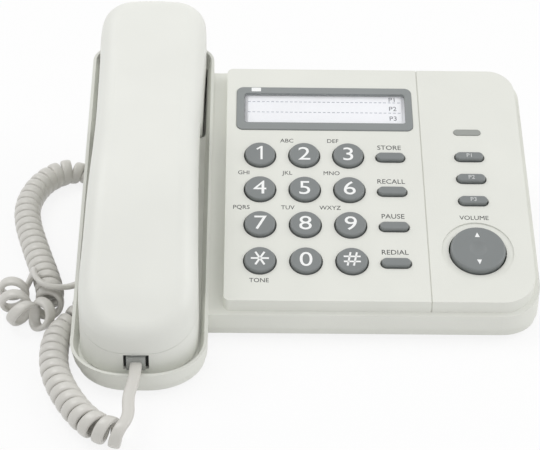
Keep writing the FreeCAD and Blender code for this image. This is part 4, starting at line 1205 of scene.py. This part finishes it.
@dataclass
class PanelLegends:
    """Words printed on the panel, and the arrows on the volume rocker.

    Attributes:
        shop: Where the ink comes from.
        ink: Thickness of the ink.
        letters: The words.
        rocker: Middle of the rocker's face, on the panel's axes.
        arrow: Half the width and half the height of an arrow.
        arrow_away: Distance of the arrows from the rocker's middle.
    """

    shop: PaintShop
    ink: float = 0.03
    letters: tuple[Legend, ...] = (
        Legend("ABC", -8.4, 85.7, LETTER_CAP),
        Legend("DEF", 11.5, 85.7, LETTER_CAP),
        Legend("GHI", -27.0, 67.5, LETTER_CAP),
        Legend("JKL", -8.3, 67.5, LETTER_CAP),
        Legend("MNO", 10.6, 67.5, LETTER_CAP),
        Legend("PQRS", -27.9, 48.5, LETTER_CAP),
        Legend("TUV", -8.3, 48.5, LETTER_CAP),
        Legend("WXYZ", 9.6, 48.5, LETTER_CAP),
        Legend("TONE", -20.3, 10.3, LETTER_CAP),
        Legend("STORE", 35.9, 82.2, NAME_CAP),
        Legend("RECALL", 35.9, 63.2, NAME_CAP),
        Legend("PAUSE", 35.9, 44.2, NAME_CAP),
        Legend("REDIAL", 35.9, 25.2, NAME_CAP),
        Legend("VOLUME", 70.1, 43.8, SIGN_CAP),
    )
    rocker: Triple = (70.4, 26.2, 1.9)
    arrow: Pair = (1.03, 1.2)
    arrow_away: float = 7.05

    def build(self) -> None:
        """Make the words and the arrows."""
        pile = MeshPile()
        for legend in self.letters:
            pile.words(legend.text, legend.cap, self.ink, PANEL.at(legend.x, legend.s, 0.0))
        pile.piece("legend_panel", self.shop.get("ink_dark"), "base")
        x, s, h = self.rocker
        arrows = MeshPile()
        for way in (1.0, -1.0):
            wide, tall = self.arrow[0] * way, self.arrow[1] * way
            place = PANEL.at(x, s + self.arrow_away * way, h)
            arrows.slab([(-wide, -tall), (wide, -tall), (0.0, tall)], self.ink, place)
        white = self.shop.get("ink_white")
        arrows.piece("legend_arrows", white, "volume_rocker_body")


@dataclass
class IndexCard:
    """Print on the index card and the small mark on its frame.

    Attributes:
        shop: Where the ink comes from.
        face: Height of the card's face, under the panel's.
        ink: Thickness of the ink.
        label_x: The labels' column.
        label_rows: Their rows.
        label_cap: Height of their capitals.
        dash: Length and width of a dash.
        dash_pitch: Distance between dashes.
        dash_count: Dashes in a rule.
        dash_start: The lower rule's first dash.
        dash_rows: Distance between the two rules.
        mark: Width, height and corner radius of the mark.
        mark_place: Its middle, on the frame's face.
    """

    shop: PaintShop
    face: float = -1.2
    ink: float = 0.03
    label_x: float = 38.6
    label_rows: tuple[float, ...] = (111.3, 105.9, 100.2)
    label_cap: float = 2.6
    dash: Pair = (1.25, 0.35)
    dash_pitch: float = 2.07
    dash_count: int = 33
    dash_start: Pair = (-24.9, 103.3)
    dash_rows: float = 6.1
    mark: Triple = (4.2, 2.2, 0.35)
    mark_place: Triple = (-21.8, 115.1, 0.5)

    def build(self) -> None:
        """Make the labels, the dashed rules and the mark."""
        labels = MeshPile()
        for number, s in enumerate(self.label_rows, 1):
            place = PANEL.at(self.label_x, s, self.face)
            labels.words(f"P{number}", self.label_cap, self.ink, place)
        labels.piece("card_labels", self.shop.get("ink_grey"), "base")

        ink = self.shop.get("ink_rule")
        values = {
            "Bar": (self.dash[0] * MM, self.dash[1] * MM, self.ink * MM),
            "Columns": self.dash_count,
            "Column Step": (self.dash_pitch * MM, 0.0, 0.0),
            "Rows": 2,
            "Row Step": (0.0, self.dash_rows * MM, 0.0),
            "Material": ink,
        }
        place = PANEL.at(*self.dash_start, self.face + self.ink / 2)
        rules = MeshPile()
        rules.mesh(BarRows().run([Vector()], values), place)
        rules.piece("card_rules", ink, "base")

        mark = MeshPile()
        mark.slab(rounded(*self.mark), self.ink, PANEL.at(*self.mark_place))
        mark.piece("card_mark", self.shop.get("ink_white"), "base")


# ---------------------------------------------------------------- hardware


class Groups:
    """Numbers joined into groups, each group known by one of its members."""

    def __init__(self, count: int) -> None:
        """Start with every number by itself."""
        self._parent = list(range(count))

    def root(self, number: int) -> int:
        """Find a number's group.

        Args:
            number: Any member of it.

        Returns:
            The member that it is known by.
        """
        while self._parent[number] != number:
            self._parent[number] = self._parent[self._parent[number]]
            number = self._parent[number]
        return number

    def join(self, first: int, second: int) -> None:
        """Make one group of two."""
        self._parent[self.root(first)] = self.root(second)


@dataclass
class Hardware:
    """Dark crosses on the screw heads, painted shade that stands for their cross recesses, plug
    contacts and the bare rating plate underneath.

    Attributes:
        shop: Where the materials come from.
        nodes: The frame's nodes by name.
        slot_width: Width of the arms of each dark cross, the painted shade that stands for a
            screw's cross recess.
        slot_depths: Thicknesses of its two arms, apart so that no faces coincide.
        case_cross: Length of the arms on the case's screws.
        handset_cross: Length of the arms on the handset's screws.
        proud: How far a painted cross stands off its screw.
        head_depth: How far under a screw's top its head still counts.
        same: Distance in metres below which two vertices are one.
        contact: Width, length and height of a plug's contact.
        contact_step: Distance between contacts.
        contact_count: Contacts in a plug.
        contact_back: Distance of their middle from the plug's nose.
        contact_rise: Height of their middle over the plug's underside.
        plate: Width, height and corner radius of the rating plate.
        plate_thick: Its thickness.
        plate_edge: Width of its chamfer.
        plate_place: Its middle, on the underside.
    """

    shop: PaintShop
    nodes: Mapping[str, bpy.types.Object]
    slot_width: float = 0.55
    slot_depths: Pair = (0.04, 0.05)
    case_cross: float = 3.0
    handset_cross: float = 2.6
    proud: float = 0.01
    head_depth: float = 0.05
    same: float = 1e-6
    contact: Triple = (0.35, 3.2, 0.3)
    contact_step: float = 1.02
    contact_count: int = 4
    contact_back: float = 2.4
    contact_rise: float = 0.1
    plate: Triple = (38.0, 26.0, 2.0)
    plate_thick: float = 0.12
    plate_edge: float = 0.04
    plate_place: Pair = (62.0, 4.0)

    def solids(self, node: str) -> list[list[Vector]]:
        """Sort a node's vertices by the solid that they belong to.

        Args:
            node: The node's name.

        Returns:
            The vertices of each solid.
        """
        mesh = self.nodes[node].data
        groups = Groups(len(mesh.vertices))
        for edge in mesh.edges:
            groups.join(*edge.vertices)
        twins: dict[tuple[int, ...], int] = {}
        for vertex in mesh.vertices:
            key = tuple(int(round(c / self.same)) for c in vertex.co)
            if key in twins:
                groups.join(vertex.index, twins[key])
            twins[key] = vertex.index
        solids: dict[int, list[Vector]] = {}
        for vertex in mesh.vertices:
            solids.setdefault(groups.root(vertex.index), []).append(vertex.co)
        return list(solids.values())

    def heads(self, node: str, outward: Vector) -> list[Vector]:
        """Find the screw heads in a node.

        Args:
            node: The screws' node.
            outward: The way the heads face.

        Returns:
            Middle of each solid's outermost face, in a fixed order.
        """
        middles = []
        for points in self.solids(node):
            reach = max(p.dot(outward) for p in points)
            top = [p for p in points if p.dot(outward) > reach - self.head_depth * MM]
            middles.append(sum(top, Vector()) / len(top))
        return sorted(middles, key=lambda p: tuple(round(c, 5) for c in p))

    def paint_recess_shade(self, name: str, node: str, body: str, outward: Vector, reach: float) -> None:
        """Paint a dark cross on each screw head of a node, as the shade inside its cross recess.

        Args:
            name: The piece's name.
            node: The screws' node.
            body: The body that carries them.
            outward: The way the heads face.
            reach: Length of the cross, in millimetres.
        """
        turn = outward.to_track_quat("Z", "Y").to_matrix().to_4x4()
        off = outward * (self.proud * MM)
        points = [turn.inverted() @ (p + off) for p in self.heads(node, outward)]
        # Near-black material: painted shade standing in for the hollow of each cross recess.
        material = self.shop.get("painted_recess_shade")
        width, (first, second) = self.slot_width, self.slot_depths
        values = {
            "Slot": (reach * MM, width * MM, first * MM),
            "Other Slot": (width * MM, reach * MM, second * MM),
            "Material": material,
        }
        pile = MeshPile()
        pile.mesh(CrossMarks().run(points, values), turn)
        pile.piece(name, material, body)

    def contacts(self, name: str, node: str, body: str) -> None:
        """Put gilt contacts under the nose of a plug, which points to the back.

        Args:
            name: The piece's name.
            node: The plug's node.
            body: The body that carries it.
        """
        low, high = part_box(node)
        material = self.shop.get("gold")
        values = {
            "Bar": tuple(side * MM for side in self.contact),
            "Columns": self.contact_count,
            "Column Step": (self.contact_step * MM, 0.0, 0.0),
            "Rows": 1,
            "Row Step": (0.0, 0.0, 0.0),
            "Material": material,
        }
        half = self.contact_step * (self.contact_count - 1) / 2
        x, y = (low.x + high.x) / 2 - half * MM, high.y - self.contact_back * MM
        start = Matrix.Translation((x, y, low.z + self.contact_rise * MM))
        pile = MeshPile()
        pile.mesh(BarRows().run([Vector()], values), start)
        pile.piece(name, material, body)

    def rating_plate(self) -> None:
        """Lay a bare plate under the lower case."""
        x, y = self.plate_place
        middle = Matrix.Translation((x * MM, y * MM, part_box("lower_case")[0].z))
        place = middle @ Matrix.Rotation(math.pi, 4, "X")
        pile = MeshPile()
        pile.slab(rounded(*self.plate), self.plate_thick, place, self.plate_edge)
        pile.piece("rating_plate", self.shop.get("label"), "base")

    def build(self) -> None:
        """Make all the small hardware."""
        down = Vector((0.0, 0.0, -1.0))
        # The screw crosses are painted shade, thin dark slabs on the heads in place of real
        # recesses.
        self.paint_recess_shade("case_screw_recess_shade", "case_screws", "base", down, self.case_cross)
        tilt = math.radians(PANEL.tilt_deg)
        down = Vector((0.0, math.sin(tilt), -math.cos(tilt)))
        name, node = "handset_screw_recess_shade", "handset_screws"
        self.paint_recess_shade(name, node, "handset", down, self.handset_cross)
        self.contacts("handset_plug_contacts", "plug_handset", "handset")
        self.contacts("base_plug_contacts", "plug_base", "base")
        self.rating_plate()


# ---------------------------------------------------------------- studio


@dataclass(frozen=True)
class StudioCamera:
    """The camera, looking down at the front of the telephone."""

    place: Triple = (-25.8, -630.0, 439.2)
    ahead: Triple = (0.01362, 0.83049, -0.55686)
    up: Triple = (-0.0093, 0.557, 0.83046)
    lens: float = 117.07
    sensor: float = 36.0
    clip: Pair = (0.01, 20.0)

    def build(self) -> None:
        """Make the camera and make it the scene's own."""
        data = bpy.data.cameras.new("camera")
        data.lens, data.sensor_width = self.lens, self.sensor
        data.clip_start, data.clip_end = self.clip
        camera = linked("camera", data)
        ahead = Vector(self.ahead).normalized()
        right = ahead.cross(Vector(self.up)).normalized()
        up = right.cross(ahead)
        turn = Matrix((right, up, -ahead)).transposed().to_4x4()
        camera.matrix_world = Matrix.Translation(Vector(self.place) * MM) @ turn
        bpy.context.scene.camera = camera


@dataclass(frozen=True)
class SoftLight:
    """A square lamp: its place, what it faces and its side, in metres, and its power."""

    name: str
    place: Triple
    target: Triple
    side: float
    watts: float


@dataclass
class Studio:
    """Pale floor, white surround and soft lamps.

    Attributes:
        ambient: Strength of the surround as a light.
        melt: Share of the floor that looks white.
        floor_half: Half the floor's side, in metres.
        floor_patch: Size of the patches in its tone, in millimetres.
        floor_tones: Its darkest and palest tone.
        lamps: The lamps.
    """

    ambient: float = 0.645
    melt: float = 0.85
    floor_half: float = 3.0
    floor_patch: float = 160.0
    floor_tones: tuple[Colour, Colour] = ((243, 243, 243), (247, 247, 247))
    lamps: tuple[SoftLight, ...] = (
        SoftLight("key_lamp", (-0.55, 0.35, 1.05), (-0.02, 0.0, 0.03), 0.7, 3.9),
        SoftLight("right_lamp", (0.95, 0.10, 0.85), (0.0, 0.0, 0.03), 0.8, 3.9),
        SoftLight("front_lamp", (0.25, -1.1, 0.75), (0.0, 0.0, 0.02), 0.9, 0.9),
    )

    @staticmethod
    def looked_at(graph: NodeGraph) -> Sock:
        """Tell what is looked at from what lights something.

        Args:
            graph: The tree that needs it.

        Returns:
            One for rays from the camera, a reflection or clear plastic, and zero for light.
        """
        path = graph.add("ShaderNodeLightPath")
        seen = graph.out(path, "Is Camera Ray") + graph.out(path, "Is Transmission Ray")
        return (seen + graph.out(path, "Is Glossy Ray")).spread(0.0, 1.0)

    def world(self) -> None:
        """White where the camera looks past everything, softer as a light."""
        world = bpy.data.worlds.new("surround")
        bpy.context.scene.world = world
        world.use_nodes = True
        graph = NodeGraph(world.node_tree)
        share = self.looked_at(graph)
        strength = share + (1.0 - share) * self.ambient
        inputs = {"Color": WHITE, "Strength": strength}
        shader = graph.add("ShaderNodeBackground", None, inputs)
        graph.add("ShaderNodeOutputWorld", None, {"Surface": graph.out(shader)})

    def floor(self) -> None:
        """A pale floor that melts into the white and still takes the contact shadow."""
        mesh = bpy.data.meshes.new("floor")
        half = self.floor_half
        corners = [(-half, -half, 0.0), (half, -half, 0.0), (half, half, 0.0), (-half, half, 0.0)]
        mesh.from_pydata(corners, [], [(0, 1, 2, 3)])
        material = bpy.data.materials.new("floor")
        material.use_nodes = True
        graph = SurfaceGraph(material.node_tree)
        tone = graph.blend(graph.noise(self.floor_patch), *map(linear, self.floor_tones))
        matte = graph.add("ShaderNodeBsdfDiffuse", None, {"Color": tone})
        glow = graph.add("ShaderNodeEmission", None, {"Color": WHITE, "Strength": 1.0})
        inputs = {0: self.looked_at(graph) * self.melt, 1: graph.out(matte), 2: graph.out(glow)}
        mixed = graph.add("ShaderNodeMixShader", None, inputs)
        graph.add("ShaderNodeOutputMaterial", None, {"Surface": graph.out(mixed)})
        mesh.materials.append(material)
        linked("floor", mesh)

    def build(self) -> None:
        """Set the lamps, the surround and the floor."""
        for lamp in self.lamps:
            data = bpy.data.lights.new(lamp.name, "AREA")
            data.shape, data.size, data.energy = "SQUARE", lamp.side, lamp.watts
            obj = linked(lamp.name, data)
            facing = (Vector(lamp.target) - Vector(lamp.place)).to_track_quat("-Z", "Y")
            obj.matrix_world = Matrix.Translation(lamp.place) @ facing.to_matrix().to_4x4()
        self.world()
        self.floor()
        bpy.context.scene.view_settings.view_transform = "Standard"


def dress_frame(shop: PaintShop, frame: Mapping[str, Any]) -> None:
    """Give every frame node the material of its slot.

    Args:
        shop: Where the materials come from.
        frame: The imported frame.
    """
    for part in frame["record"]["subparts"]:
        mesh = frame["nodes"][part["node"]].data
        mesh.materials.clear()
        mesh.materials.append(shop.get(part["material_slot"]))
        LOG.info("dressed %s in %s", part["node"], part["material_slot"])


def main() -> None:
    """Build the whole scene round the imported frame."""
    logging.basicConfig(level=logging.INFO, format="%(message)s")
    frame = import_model()
    shop = PaintShop()
    StudioCamera().build()
    CurlyCord(shop).build()
    dress_frame(shop, frame)
    KeyLegends(shop).build()
    PanelLegends(shop).build()
    IndexCard(shop).build()
    Hardware(shop, frame["nodes"]).build()
    Studio().build()


if __name__ == "__main__":
    main()
